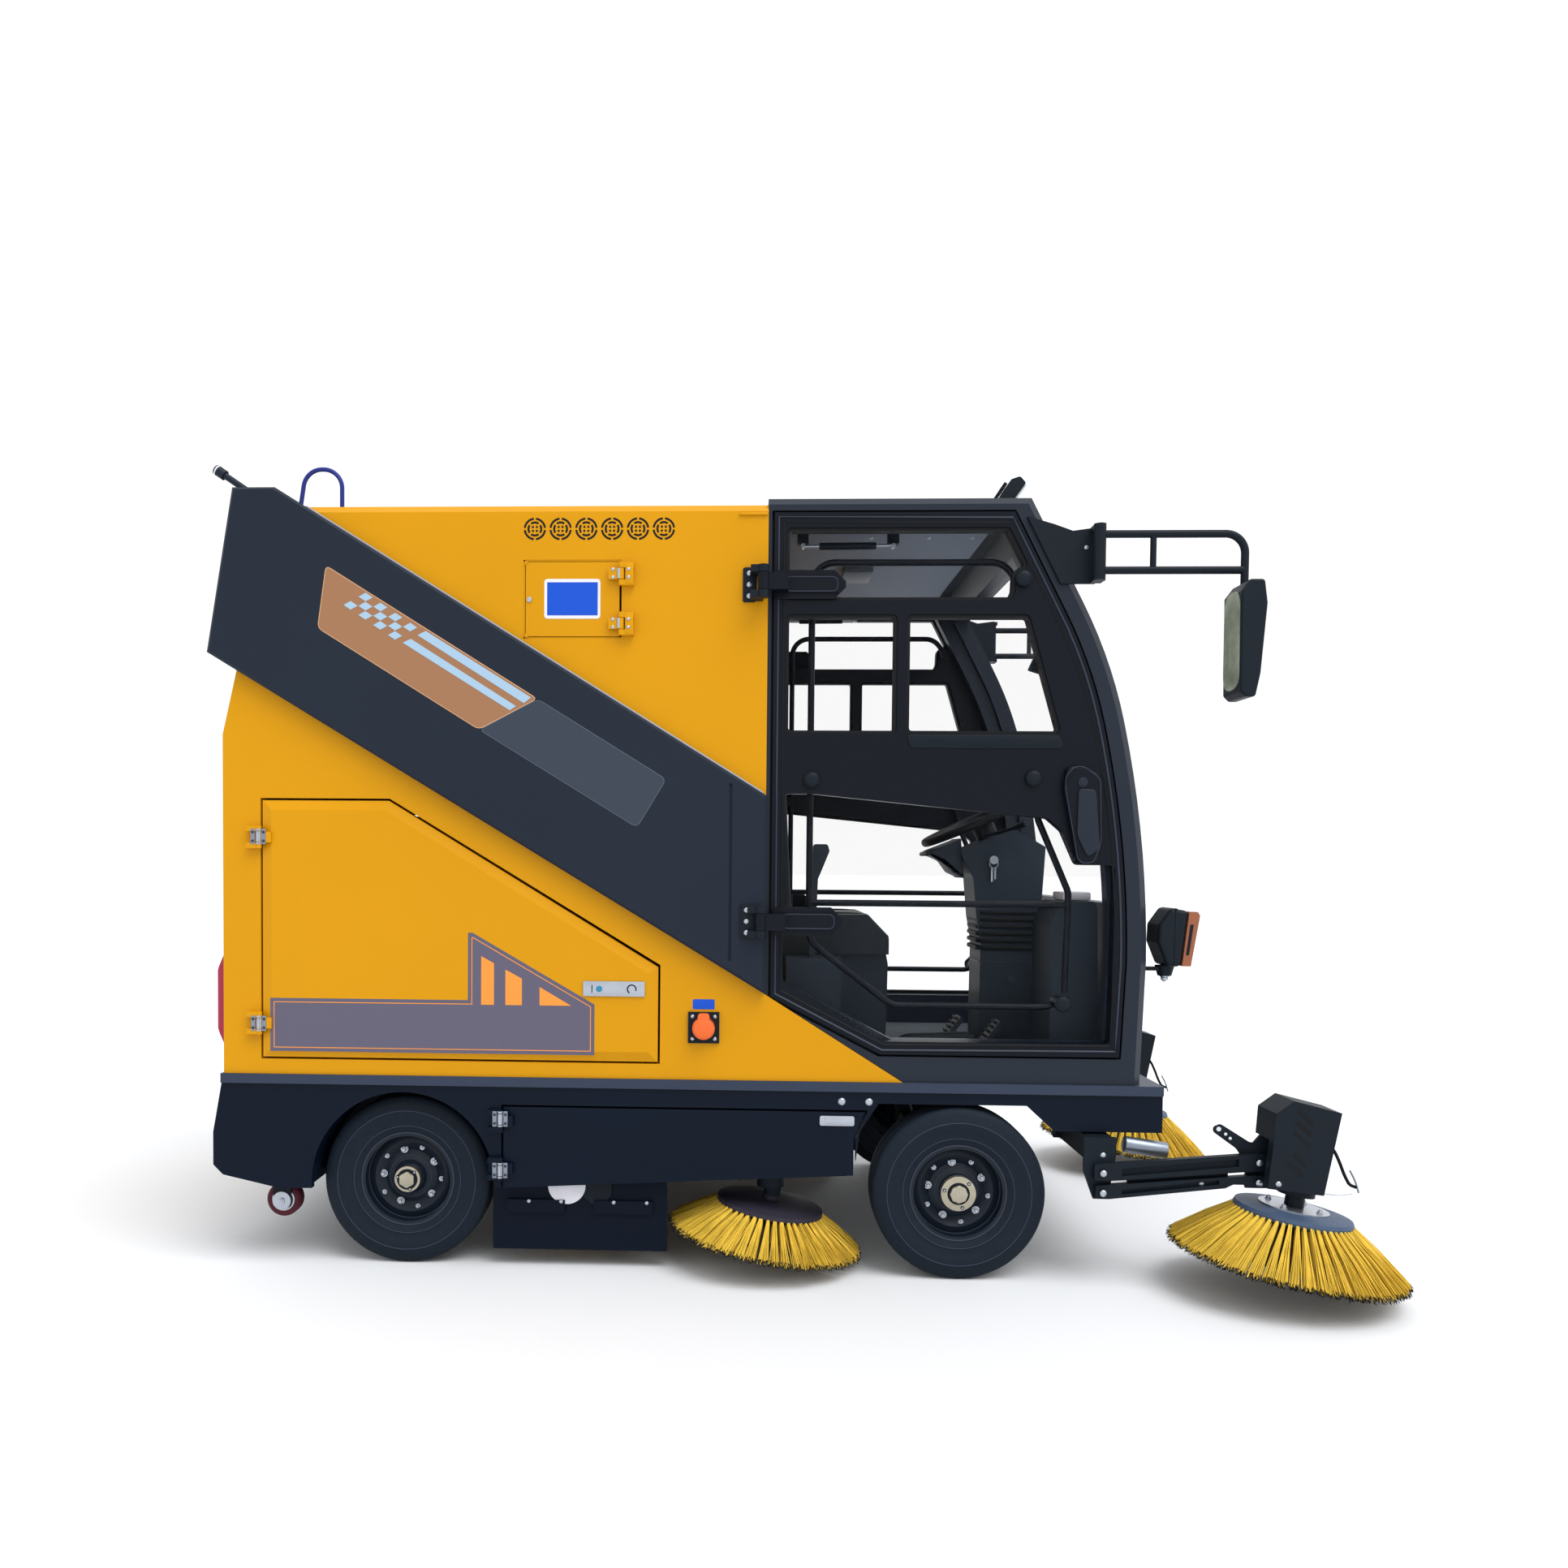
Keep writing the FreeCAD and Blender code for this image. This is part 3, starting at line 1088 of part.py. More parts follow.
def guard_run(body, across, route):
    """One bent tube whose first run may lean, swept square to that run."""
    spine = Outline(body, "XZ", 0, 0, 0 - across)
    spine.loop(route, closed=False)
    way = heading(route[0], route[1])
    lean = math.degrees(math.atan2(way.x, way.y))
    ring = Outline(body, "XY")
    ring.circle(0, 0, d.guard_radius)
    turn = FreeCAD.Rotation(FreeCAD.Vector(0, 1, 0), lean)
    spot = FreeCAD.Vector(plain(route[0][0]), plain(across), plain(route[0][1]))
    ring.sketch.AttachmentOffset = FreeCAD.Placement(spot, turn)
    for axis, size in zip("xyz", (route[0][0], across, route[0][1])):
        bind(ring.sketch, ".AttachmentOffset.Base." + axis, size)
    pipe = body.newObject("PartDesign::AdditivePipe", body.Name + "_guard")
    pipe.Profile = ring.sketch
    pipe.Spine = (spine.sketch, ["Edge%d" % (n + 1) for n in range(spine.sketch.GeometryCount)])
    features.append(pipe)


def pane_outlines(gap):
    """The four glazed openings of a cab door: upper with a notch round its boss, rear, front and
    large lower."""
    boss_x, boss_z = boss_spots()[0]
    notch = boss_z + 29 + gap
    edge = d.door_inset + d.door_stile
    rear = d.pane_rear + gap
    upper = [(slope_x(edge + gap, d.pane_top - gap), d.pane_top - gap), (rear, d.pane_top - gap),
             (rear, d.pane_bar_high + gap), (boss_x - 31 - gap, d.pane_bar_high + gap),
            (boss_x - 20 - gap, boss_z - 32), (boss_x - 18 - gap, boss_z + 17 + gap),
            (slope_x(edge + gap, notch), notch)]
    post = d.pane_post_width / 2
    back = [(rear, d.band_top + gap), (d.pane_post - post - gap, d.band_top + gap),
            (d.pane_post - post - gap, d.pane_bar_low - gap), (rear, d.pane_bar_low - gap)]
    low_x = d.brow_x - edge - gap - 86
    front = [(d.pane_post + post + gap, d.band_top + gap), (low_x - 60, d.band_top + gap),
             (low_x - 150, d.pane_bar_low - gap), (d.pane_post + post + gap, d.pane_bar_low - gap)]
    far = d.brow_x - edge - gap
    cheek = d.handle_rear - gap
    large = [(rear, d.pane_low_rear + gap), (d.pane_low_x + gap, d.pane_low + gap), (far - 6, d.pane_low + gap),
             (far, d.handle_low - gap), (cheek + 44, d.handle_low - gap), (cheek + 4, d.handle_low + 90 - gap),
             (cheek - 34, d.band_low_front - gap), (d.pane_rear + 78, d.band_low_rear - gap), (rear, d.band_low_rear - gap)]
    return [bent(points, d.pane_corner, True) for points in (upper, back, front, large)]


def slope_x(offset, height):
    """Where the straight upper part of the front curve, drawn in by offset, is at a height."""
    top = front_curve(offset, height, d.deck_top)
    return top[-1][0]


def seat():
    """Seat box, and the cushion and back that make one seat."""
    box = new_body("seat_box")
    half = d.seat_half - 20
    solid(box, "XZ", 0 - half, half,
          [(d.seat_rear, d.deck_top), (d.seat_front - 6, d.deck_top), (d.seat_front, d.seat_box_top - 30),
           (d.seat_front - 6, d.seat_box_top), (d.seat_rear, d.seat_box_top)])
    keep("seat_box", box)
    cushion = new_body("seat_cushion")
    base = d.seat_box_top + d.seat_gap
    block = solid(cushion, "XZ", 0 - d.seat_half, d.seat_half,
                  [(d.seat_rear, base), (d.seat_front, base), (d.seat_front, d.cushion_top - 64),
                   (d.seat_front - 62, d.cushion_top), (d.seat_rear, d.cushion_top)])
    dressed(cushion, "Fillet", block, Size(14, "14"), lambda p: near(abs(p.y), d.seat_half) and p.z > plain(base) + 1)
    back = new_body("seat_back")
    base = d.cushion_top + d.seat_gap
    block = solid(back, "XZ", 0 - d.seat_half, d.seat_half,
                  [(d.seat_rear, base), (d.seat_rear + d.back_thick, base),
                   (d.seat_rear + d.back_thick - 24, d.back_top), (d.seat_rear, d.back_top)])
    dressed(back, "Fillet", block, Size(14, "14"), lambda p: near(abs(p.y), d.seat_half) and p.x > plain(d.seat_rear) + 1)
    keep("driver_seat", together("driver_seat", [cushion, back]))


def steering():
    """Column with a pod that faces the driver, and the tilted steering wheel on the pod's pin."""
    pedestal = new_body("pedestal")
    x = d.column_x
    across = cosine(d.wheel_tilt)
    along = sine(d.wheel_tilt)
    seat_x = d.steer_x + d.steer_drop * along
    seat_z = d.steer_z - d.steer_drop * across
    pod = d.steer_hub * 2
    low_half = d.column_low_half
    solid(pedestal, "XZ", 0 - d.column_half, d.column_half,
          [(x - low_half, d.deck_top), (x + low_half, d.deck_top), (x + low_half, d.column_neck - 160),
           (x + low_half + 10, d.column_neck), (x + low_half + 24, seat_z - 30),
           (seat_x + pod * across, seat_z + pod * along), (seat_x - pod * across, seat_z - pod * along),
           (seat_x - pod * across - 40, seat_z - 46), (seat_x - 60, seat_z - 130), (x - low_half - 10, d.column_neck + 20),
           (x - low_half + 4, d.column_neck - 60)])
    pin = new_body("steering_pin")
    rod(pin, "XY", 0 - d.steer_drop - 12, Size(-6, "-6"), 0, 0, d.steer_pin)
    stand(pin, d.steer_x, Size(0, "0"), d.steer_z, 0 - d.wheel_tilt)
    keep("steering_column", joined("steering_column", [pedestal, pin]))
    wheel = new_body("steering_wheel")
    radius = d.steer_radius
    tube_ring = Outline(wheel, "XZ")
    tube_ring.circle(radius, 0, d.steer_rim)
    spin = wheel.newObject("PartDesign::Revolution", "steering_rim")
    spin.Profile = tube_ring.sketch
    spin.ReferenceAxis = (tube_ring.sketch, ["V_Axis"])
    spin.Angle = 360
    features.append(spin)
    rod(wheel, "XY", d.seat_gap - d.steer_drop, Size(2, "2"), 0, 0, d.steer_hub)
    spoke = extrude(wheel, "XY", Size(-10, "-10"), Size(2, "2"), False)
    spoke.box(Size(0, "0"), radius, Size(-14, "-14"), Size(14, "14"))
    arm = add(wheel, spoke, Size(-10, "-10"), Size(2, "2"))
    around(wheel, arm, 3, spoke)
    bore(wheel, "XY", 0 - d.steer_drop, Size(-5, "-5"), 0, 0, d.steer_pin + d.fit_gap)
    stand(wheel, d.steer_x, Size(0, "0"), d.steer_z, 0 - d.wheel_tilt)
    keep("steering_wheel", wheel)


def controls():
    """Front console, hand lever beside the seat and two pedals, all standing on the floor."""
    console = new_body("console")
    y = 0 - d.console_y
    block = solid(console, "XZ", y - d.console_half, y + d.console_half,
                  bent([(d.console_rear, d.deck_top), (d.console_front, d.deck_top),
                        (d.console_front - 14, d.console_top), (d.console_rear + 26, d.console_top),
                        (d.console_rear, d.console_top - 70)], 20, True))
    lever = new_body("lever")
    x = d.lever_x
    y = 0 - d.lever_y
    solid(lever, "XZ", y - 60, y + 60, rect(x - 90, x + 70, d.deck_top, d.seat_box_top))
    solid(lever, "XZ", y - 8, y + 8, [(x - 20, d.seat_box_top), (x - 4, d.seat_box_top), (x + 4, d.lever_top - 90),
                                      (x - 16, d.lever_top - 90)])
    knob = solid(lever, "XZ", y - 16, y + 16,
                 bent([(x - 22, d.lever_top - 110), (x + 4, d.lever_top - 100), (x + 36, d.lever_top - 20),
                       (x + 30, d.lever_top), (x - 10, d.lever_top)], 8, True))
    pieces = [console, lever]
    for number, x in enumerate((d.steer_x - 70, d.steer_x + 30)):
        y = 0 - d.pedal_y - 95 * number
        pedal = new_body("pedal_%s" % ("rear", "front")[number])
        solid(pedal, "XZ", y - 8, y + 8, [(x - 30, d.deck_top), (x + 4, d.deck_top), (x - 6, d.deck_top + 70),
                                          (x - 30, d.deck_top + 76)])
        solid(pedal, "XZ", y - d.pedal_half, y + d.pedal_half,
              [(x - 70, d.deck_top + 44), (x - 58, d.deck_top + 38), (x, d.deck_top + 112), (x - 12, d.deck_top + 120)])
        pieces.append(pedal)
    keep("cab_controls", together("cab_controls", pieces))


def stand(body, x, y, z, lean):
    """Places a body modelled upright about its own origin, leaned about the Y direction."""
    spot = FreeCAD.Vector(plain(x), plain(y), plain(z))
    body.Placement = FreeCAD.Placement(spot, FreeCAD.Rotation(FreeCAD.Vector(0, 1, 0), plain(lean)))
    for axis, size in zip("xyz", (x, y, z)):
        bind(body, "Placement.Base." + axis, size)
    bind(body, "Placement.Rotation.Angle", lean)


def chin_x(height):
    """Front face of the cab below its brow, at a height."""
    return d.brow_x - (d.brow_z - height) * d.chin_back / (d.brow_z - d.deck_top)


def lamps():
    """Head lamps on brackets beside the cab's front, work lamps on the roof, and tail lamps."""
    body = new_body("lamp_right")
    y = 0 - cab_half + d.head_lamp_inset
    half = d.head_lamp_half
    low = d.head_lamp_low
    top = d.head_lamp_top
    rear = d.head_lamp_rear
    front = d.head_lamp_front
    shell = solid(body, "XZ", y - half, y + half,
                  bent([(rear, low + 64), (rear + 26, low), (front - d.head_lens - 16, low),
                        (front - d.head_lens + 2, top - 8), (rear + 34, top), (rear + 2, top - 46)], 14, True))
    dressed(body, "Fillet", shell, Size(12, "12"), lambda p: near(abs(p.y - plain(y)), half)
            and p.x < plain(front - d.head_lens - 30))
    plate_low = low - 14
    plate_high = low - 4
    solid(body, "XZ", y - 12, y + 12, [(chin_x(plate_low), plate_low), (rear + 50, plate_low),
                                       (rear + 50, plate_high), (chin_x(plate_high), plate_high)])
    rod(body, "XY", low - 34, low + 8, rear + 36, y, Size(9, "9"))
    lens = new_body("lens_right")
    solid(lens, "XZ", y - half, y + half,
          [(front - d.head_lens - 15, low + 2), (front - 26, low + 2), (front - 4, top - 20),
           (front - 10, top - 10), (front - d.head_lens + 2, top - 10)])
    roof = new_body("roof_lamp_right")
    x = slope_x(Size(0, "0"), d.cab_top) - d.roof_lamp_back
    ry = 0 - cab_half + d.roof_lamp_inset
    wide = d.roof_lamp_half
    base = d.cab_top
    solid(roof, "XZ", ry - wide / 2, ry + wide / 2,
          [(x - 70, base), (x + 10, base), (x + 10, base + 14), (x - 10, base + 24), (x - 44, base + 16)])
    solid(roof, "XZ", ry - wide, ry + wide,
          bent([(x - 40, base + 16), (x - 4, base + 8), (x + 34, base + 60), (x + 18, base + 78),
                (x - 6, base + 70)], 8, True))
    pieces = [body, other_side("lamp_left", body), roof, other_side("roof_lamp_left", roof)]
    keep("lamp_housings", together("lamp_housings", pieces))
    keep("lamp_lenses", together("lamp_lenses", [lens, other_side("lens_left", lens)]))
    tail = new_body("tail_right")
    ty = 0 - d.body_half + d.tail_inset
    wide = d.tail_width / 2
    face = d.body_rear
    block = solid(tail, "XZ", ty - wide, ty + wide,
                  [(face, d.tail_low), (face, d.tail_top), (face - d.tail_proud, d.tail_top - 60),
                   (face - d.tail_proud, d.tail_low + 60)])
    dressed(tail, "Fillet", block, Size(10, "10"),
            lambda p: near(p.x, face - d.tail_proud) and not near(p.y, ty))
    keep("tail_lamps", together("tail_lamps", [tail, other_side("tail_left", tail)]))


def mirror():
    """Gusset and barrel on the pillar, and the bent arms with a rounded head that fold on it."""
    gusset = new_body("mirror_gusset_right")
    low = d.mirror_low
    high = d.mirror_high
    x = slope_x(Size(0, "0"), d.mirror_low) + d.mirror_back
    face = 0 - cab_half
    y = face - d.mirror_out
    lug = (high - low) * 0.08
    outer = d.mirror_tube + 6
    inset = Size(40, "40")
    solid(gusset, "XZ", face - 10, face,
          [(slope_x(inset, low), low), (x, low), (x, high), (x - 60, high - 8), (x - 110, high + 10),
           (slope_x(inset, high + 30), high + 30)])
    for start in (low, high - lug):
        solid(gusset, "XY", start, start + lug, rect(x - 14, x + 14, y, face - 10))
        rod(gusset, "XY", start, start + lug, x, y, outer)
    rod(gusset, "XY", low, high, x, y, d.mirror_tube - 3)
    keep("mirror_gussets", together("mirror_gussets",
                                    [gusset, other_side("mirror_gusset_left", gusset)]))
    arm = new_body("mirror_right")
    tube_radius = d.mirror_tube
    sleeve_low = low + lug + 0.5
    sleeve_high = high - lug - 0.5
    rod(arm, "XY", sleeve_low, sleeve_high, x, y, outer)
    end_x = x + d.mirror_reach
    upper = sleeve_high - tube_radius - 4
    lower = sleeve_low + tube_radius + 4
    tube(arm, y, bent([(x, upper), (end_x, upper), (end_x, d.mirror_head_top - 20)], d.mirror_bend),
         tube_radius, "X")
    rod(arm, "YZ", x, end_x, y, lower, tube_radius)
    rod(arm, "XY", lower, upper, x + d.mirror_reach * 0.37, y, tube_radius - 2)
    rear = x + d.mirror_head_rear
    front = rear + d.mirror_head_width
    inner_y = y + 24
    outer_y = inner_y - d.mirror_head_depth
    head = solid(arm, "XZ", outer_y, inner_y,
                 bent([(rear, d.mirror_head_low + 14), (rear + 14, d.mirror_head_low), (front - 24, d.mirror_head_low),
                       (front - 12, d.mirror_head_low + 60), (front + 2, d.mirror_head_top - 60),
                       (front - 6, d.mirror_head_top), (rear + 20, d.mirror_head_top),
                       (rear - 2, d.mirror_head_top - 30)], 9, True))
    dressed(arm, "Fillet", head, Size(6, "6"), lambda p: p.x > plain(rear) + 17
            and (near(p.y, outer_y) or near(p.y, inner_y)) and p.z < plain(d.mirror_head_top) + 1)
    bore(arm, "XY", sleeve_low, sleeve_high, x, y, tube_radius - 3 + d.fit_gap)
    keep("mirror_right", arm)
    keep("mirror_left", other_side("mirror_left", arm))


def bristle_disc(label, radius, drop, disc, ring, hub_top, plate):
    """Round side brush about its own upright axis: bored hub, clamp plate, disc, and a flared ring
    of tufts."""
    body = new_body(label)
    thick = d.disc_thick
    inner = radius - ring
    pin = d.brush_pin + d.fit_gap
    hub = d.brush_hub
    section = [(pin, hub_top), (hub, hub_top), (hub, d.plate_thick), (plate, d.plate_thick), (plate, 0), (disc, 0), (disc, 0 - thick * 0.6),
               (radius, 0 - drop), (inner, 0 - drop), (disc - ring, 0 - thick), (pin, 0 - thick)]
    turned(body, "XZ", "V", 0, 0, 0, section)
    gap = d.tuft_gap / 2
    low = 0 - drop - 5
    high = 0 - thick * 0.3
    slit = extrude(body, "XY", low, high, True)
    slit.loop([(disc + 14, 0), (radius + 12, 0 - gap), (radius + 12, gap)])
    cut = take(body, slit, low, high)
    around(body, cut, d.tuft_count, slit)
    return body


def brush_flange(label, x, y, z, lean, start, end, flange):
    """Tilted drive flange above a side brush, with the pin that enters the brush's hub."""
    body = new_body(label)
    rod(body, "XY", start, end, 0, 0, flange)
    rod(body, "XY", 0 - d.disc_thick * 0.5, start, 0, 0, d.brush_pin)
    stand(body, x, y, z, lean)
    return body


def front_brush():
    """Side brush, its tilted motor head and the two parallel links that carry it."""
    y = 0 - d.arm_y
    plate = d.arm_plate
    outer = y - plate - d.seat_gap
    inner = outer - d.link_thick
    rear = d.link_rear_x
    front = front_pin_x
    for name, rear_z, wide in (("front_link_upper", d.link_high, d.link_upper_width),
                               ("front_link_lower", d.link_low, d.link_lower_width)):
        link = new_body(name + "_right")
        front_z = rear_z + d.link_rise
        half = wide / 2
        under = [(front + half, front_z - half)]
        slot_end = front - 50
        if name == "front_link_lower":
            under = [(front - 84, front_z - half), (front - 64, front_z - 7), (front - 38, front_z - 7),
                     (front - 20, front_z - 15), (front + half, front_z - 15)]
            slot_end = front - 100
        solid(link, "XZ", inner, outer,
              bent([(rear - half, rear_z - half), (rear + half, rear_z - half)] + under
                   + [(front + half, front_z + half), (front - half, front_z + half), (rear - half, rear_z + half)],
                   6, True))
        hollow(link, "XZ", inner, inner + 12,
               [(rear + 50, rear_z - half + 13), (slot_end, front_z - half + 9), (slot_end, front_z + half - 13),
                (rear + 50, rear_z + half - 9)])
        bore(link, "XZ", inner, outer, rear, rear_z, d.link_pin + d.fit_gap)
        bore(link, "XZ", inner, outer, front, front_z, d.link_pin + d.fit_gap)
        keep(name + "_right", link)
        keep(name + "_left", other_side(name + "_left", link))
    head = new_body("front_motor_right")
    front_high = d.link_high + d.link_rise
    front_low = d.link_low + d.link_rise
    solid(head, "XZ", outer + d.seat_gap, outer + d.seat_gap + plate,
          [(front - 24, front_low - 20), (front + 60, front_low - 20), (front + 110, front_low + 30),
           (front + 110, front_high + 90), (front + 30, front_high + 90), (front - 24, front_high + 24)])
    for height in (front_high, front_low):
        rod(head, "XZ", inner - 8, outer + d.seat_gap, front, height, d.link_pin)
    box_y = 0 - d.brush_y
    near_face = box_y - 70
    crown = [(front + 62, front_high + 174), (front + 183, front_high + 144), (front + 142, front_high - 69)]
    shoulder = [(front + 13, front_high + 68), (front + 18, front_high + 141)]
    solid(head, "XZ", near_face, box_y + 45,
          crown + [(front + 33, front_high - 57), (front + 33, front_high + 58)] + shoulder)
    solid(head, "XZ", near_face, near_face + 30, crown + [(front, front_high - 53)] + shoulder)
    tilt = d.brush_tilt
    brush_x = d.overall_half - d.bristle_radius * cosine(tilt) + d.bristle_drop * sine(tilt)
    flange = brush_flange("front_flange_right", brush_x, box_y, d.brush_z, tilt,
                          d.brush_collar + d.seat_gap, d.brush_collar + 90, d.brush_hub + 22)
    keep("front_head_right", joined("front_head_right", [head, flange]))
    keep("front_head_left", other_side("front_head_left", nodes["front_head_right"]))
    brush = bristle_disc("front_brush_right", d.bristle_radius, d.bristle_drop, d.disc_radius,
                         d.bristle_ring, d.brush_collar, d.brush_plate)
    stand(brush, brush_x, box_y, d.brush_z, tilt)
    keep("front_brush_right", brush)
    keep("front_brush_left", other_side("front_brush_left", brush))


def mid_brush():
    """Inner side brush ahead of the main brush; its motor slides up on the frame's post."""
    head = new_body("mid_motor_right")
    x = d.mid_x
    y = 0 - d.mid_y
    low = d.mid_z + 44
    rod(head, "XY", low, d.mid_z + d.mid_head_top, x, y, d.mid_post + 24)
    bore(head, "XY", d.mid_z + 60, d.mid_z + d.mid_head_top, x, y, d.mid_post + d.fit_gap)
    flange = brush_flange("mid_flange_right", x, y, d.mid_z, d.mid_tilt,
                          d.brush_collar / 2 + d.seat_gap, d.brush_collar / 2 + 34, d.brush_hub)
    keep("mid_head_right", joined("mid_head_right", [head, flange]))
    keep("mid_head_left", other_side("mid_head_left", nodes["mid_head_right"]))
    brush = bristle_disc("mid_brush_right", d.mid_radius, d.mid_drop, d.mid_disc, d.bristle_ring,
                         d.brush_collar / 2, d.mid_plate)
    stand(brush, x, y, d.mid_z, d.mid_tilt)
    keep("mid_brush_right", brush)
    keep("mid_brush_left", other_side("mid_brush_left", brush))


def main_brush():
    """Full width cylindrical brush between the axles, with ribs of bristles round its core."""
    body = new_body("main_brush")
    half = d.main_half
    hub = d.spindle_radius + d.fit_gap
    turned(body, "YZ", "H", 0, d.main_z, d.main_x,
           [(0 - half, hub), (0 - half, d.main_core), (half, d.main_core), (half, hub)])
    low = 20 - half
    high = half - 20
    rib = extrude(body, "XZ", low, high, False, d.main_x, d.main_z)
    rib.loop([(0 - d.rib_width / 3, d.main_core - 6), (d.rib_width / 3, d.main_core - 6),
              (d.rib_width, d.main_radius - 4), (0 - d.rib_width, d.main_radius - 4)])
    blade = add(body, rib, low, high)
    around(body, blade, d.main_ribs, rib)
    keep("main_brush", body)


def rollers():
    body = new_body("roller_right")
    half = d.roller_width / 2
    hub = d.link_pin + d.fit_gap
    turned(body, "YZ", "H", 0 - d.roller_y, d.roller_z, d.roller_x,
           [(0 - half, hub), (0 - half, d.roller_radius - 6), (6 - half, d.roller_radius),
            (half - 6, d.roller_radius), (half, d.roller_radius - 6), (half, hub)])
    keep("roller_right", body)
    keep("roller_left", other_side("roller_left", body))


def curtains():
    """Rubber dust curtains beside the main brush, each held by two clamp bars."""
    body = new_body("curtain_right")
    face = 0 - d.body_half + d.skirt_sheet + 22
    solid(body, "XZ", face, face + d.curtain_thick,
          rect(d.curtain_rear, d.curtain_front, d.curtain_low, d.deck_low))
    third = (d.curtain_front - d.curtain_rear) / 3
    for start in (d.curtain_rear + 40, d.curtain_front - 40 - third):
        solid(body, "XZ", face - 10, face, rect(start, start + third, d.clamp_low, d.clamp_low + d.clamp_height))
    keep("brush_curtains", together("brush_curtains", [body, other_side("curtain_left", body)]))


def ports():
    """Charging socket with its cap, and the water filler neck behind the small door."""
    socket = new_body("charging_socket")
    half = d.socket_size / 2
    face = 0 - d.body_half
    solid(socket, "XZ", face - 8, face, rect(d.socket_x - half, d.socket_x + half,
                                             d.socket_z - half, d.socket_z + half))
    rod(socket, "XZ", face - 30, face - 8, d.socket_x, d.socket_z, d.socket_cap)
    neck = new_body("water_filler")
    inside = face + d.body_wall + 40
    rod(neck, "XZ", inside, inside + d.filler_length, d.filler_x, d.filler_z, d.filler_radius)
    bore(neck, "XZ", inside, inside + d.filler_length - 10, d.filler_x, d.filler_z, d.filler_bore)
    back = inside + d.filler_length
    solid(neck, "XZ", back, back + d.tank_depth,
          rect(d.filler_x - 200, d.filler_x + 200, d.filler_z - 160, d.body_top - d.body_wall))
    keep("service_ports", together("service_ports", [socket, neck]))


def battery():
    """One block for the battery pack that the body closes in."""
    body = new_body("battery_block")
    half = d.battery_half
    floor = d.deck_top + d.body_wall
    solid(body, "XY", floor, d.battery_top, rect(d.battery_rear, d.battery_front, 0 - half, half))
    keep("battery_block", body)


def roof_hose():
    """Thin hose that rises from the roof, arches over and goes back into it."""
    body = new_body("roof_hose")
    across = 0 - d.body_half + d.hose_inset
    radius = (d.hose_front - d.hose_rear) / 2 * 0.9
    top = d.hose_top
    lean = (d.hose_front - d.hose_rear) * 0.14
    guard_route = bent([(d.hose_front, d.body_top), (d.hose_front, top), (d.hose_rear + lean, top),
                        (d.hose_rear, d.body_top + d.hose_seat)], plain(radius) * 0.98)
    tube(body, across, guard_route, d.hose_radius, "Z")
    print("roof hose: radius of its bends %.0f mm, of the hose %.0f mm" % (plain(radius) * 0.98, plain(d.hose_radius)))
    keep("roof_hose", body)


def write_parts():
    doc.recompute()
    for obj in doc.Objects:
        if {"Invalid", "Error"} & set(obj.State):
            raise RuntimeError("%s failed: %s" % (obj.Label, obj.State))
    for feature in features:
        base = getattr(feature, "BaseFeature", None)
        if base is None:
            continue
        grown = feature.Shape.Volume - base.Shape.Volume
        kind = feature.TypeId
        cutting = kind in ("PartDesign::Pocket", "PartDesign::Chamfer", "PartDesign::Fillet")
        patterned = kind in ("PartDesign::PolarPattern", "PartDesign::LinearPattern")
        if abs(grown) < 1 or (not patterned and cutting != (grown < 0)):
            print("no effect:", feature.Name, round(grown, 3))
    os.makedirs("parts", exist_ok=True)
    for node, obj in nodes.items():
        shape = obj.Shape
        if shape.isNull() or not shape.isValid() or not shape.Solids:
            raise RuntimeError("%s has no valid solid" % node)
        shape.exportStep("parts/%s.step" % node)


wheels()
front_axle()
knuckle()
rear_axle()
frame()
deck()
skirts()
skirt_door()
body_shell()
side_door()
water_door()
rear_door()
slant_cover()
cab_frame()
windscreen()
cab_door()
seat()
steering()
controls()
lamps()
mirror()
front_brush()
mid_brush()
main_brush()
rollers()
curtains()
ports()
battery()
roof_hose()
write_parts()
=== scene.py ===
import json
import math
import random
import bmesh
import bpy
from mathutils import Matrix, Vector
from mathutils.bvhtree import BVHTree

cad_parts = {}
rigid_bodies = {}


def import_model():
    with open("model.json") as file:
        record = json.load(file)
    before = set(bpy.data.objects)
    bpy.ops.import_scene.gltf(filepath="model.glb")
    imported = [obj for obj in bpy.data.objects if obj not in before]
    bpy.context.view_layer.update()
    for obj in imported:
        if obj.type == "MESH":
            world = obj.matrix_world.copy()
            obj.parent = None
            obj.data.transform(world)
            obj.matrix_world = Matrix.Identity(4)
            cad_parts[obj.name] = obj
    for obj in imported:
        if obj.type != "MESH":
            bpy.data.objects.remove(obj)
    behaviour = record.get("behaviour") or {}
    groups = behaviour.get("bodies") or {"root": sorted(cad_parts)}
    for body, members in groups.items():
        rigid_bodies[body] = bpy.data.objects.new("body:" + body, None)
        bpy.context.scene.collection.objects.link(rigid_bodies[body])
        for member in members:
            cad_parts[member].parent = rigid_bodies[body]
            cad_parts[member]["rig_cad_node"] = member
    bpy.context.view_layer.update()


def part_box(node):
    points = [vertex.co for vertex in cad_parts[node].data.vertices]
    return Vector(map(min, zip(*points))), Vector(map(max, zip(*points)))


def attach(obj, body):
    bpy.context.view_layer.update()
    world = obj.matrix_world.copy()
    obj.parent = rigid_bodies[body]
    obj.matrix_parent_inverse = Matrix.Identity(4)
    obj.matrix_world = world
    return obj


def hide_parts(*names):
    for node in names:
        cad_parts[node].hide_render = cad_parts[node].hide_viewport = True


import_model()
random.seed(7)
NODES = {o["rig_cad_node"]: o for o in bpy.context.scene.objects if "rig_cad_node" in o}
SIDES = (("right", -1), ("left", 1))
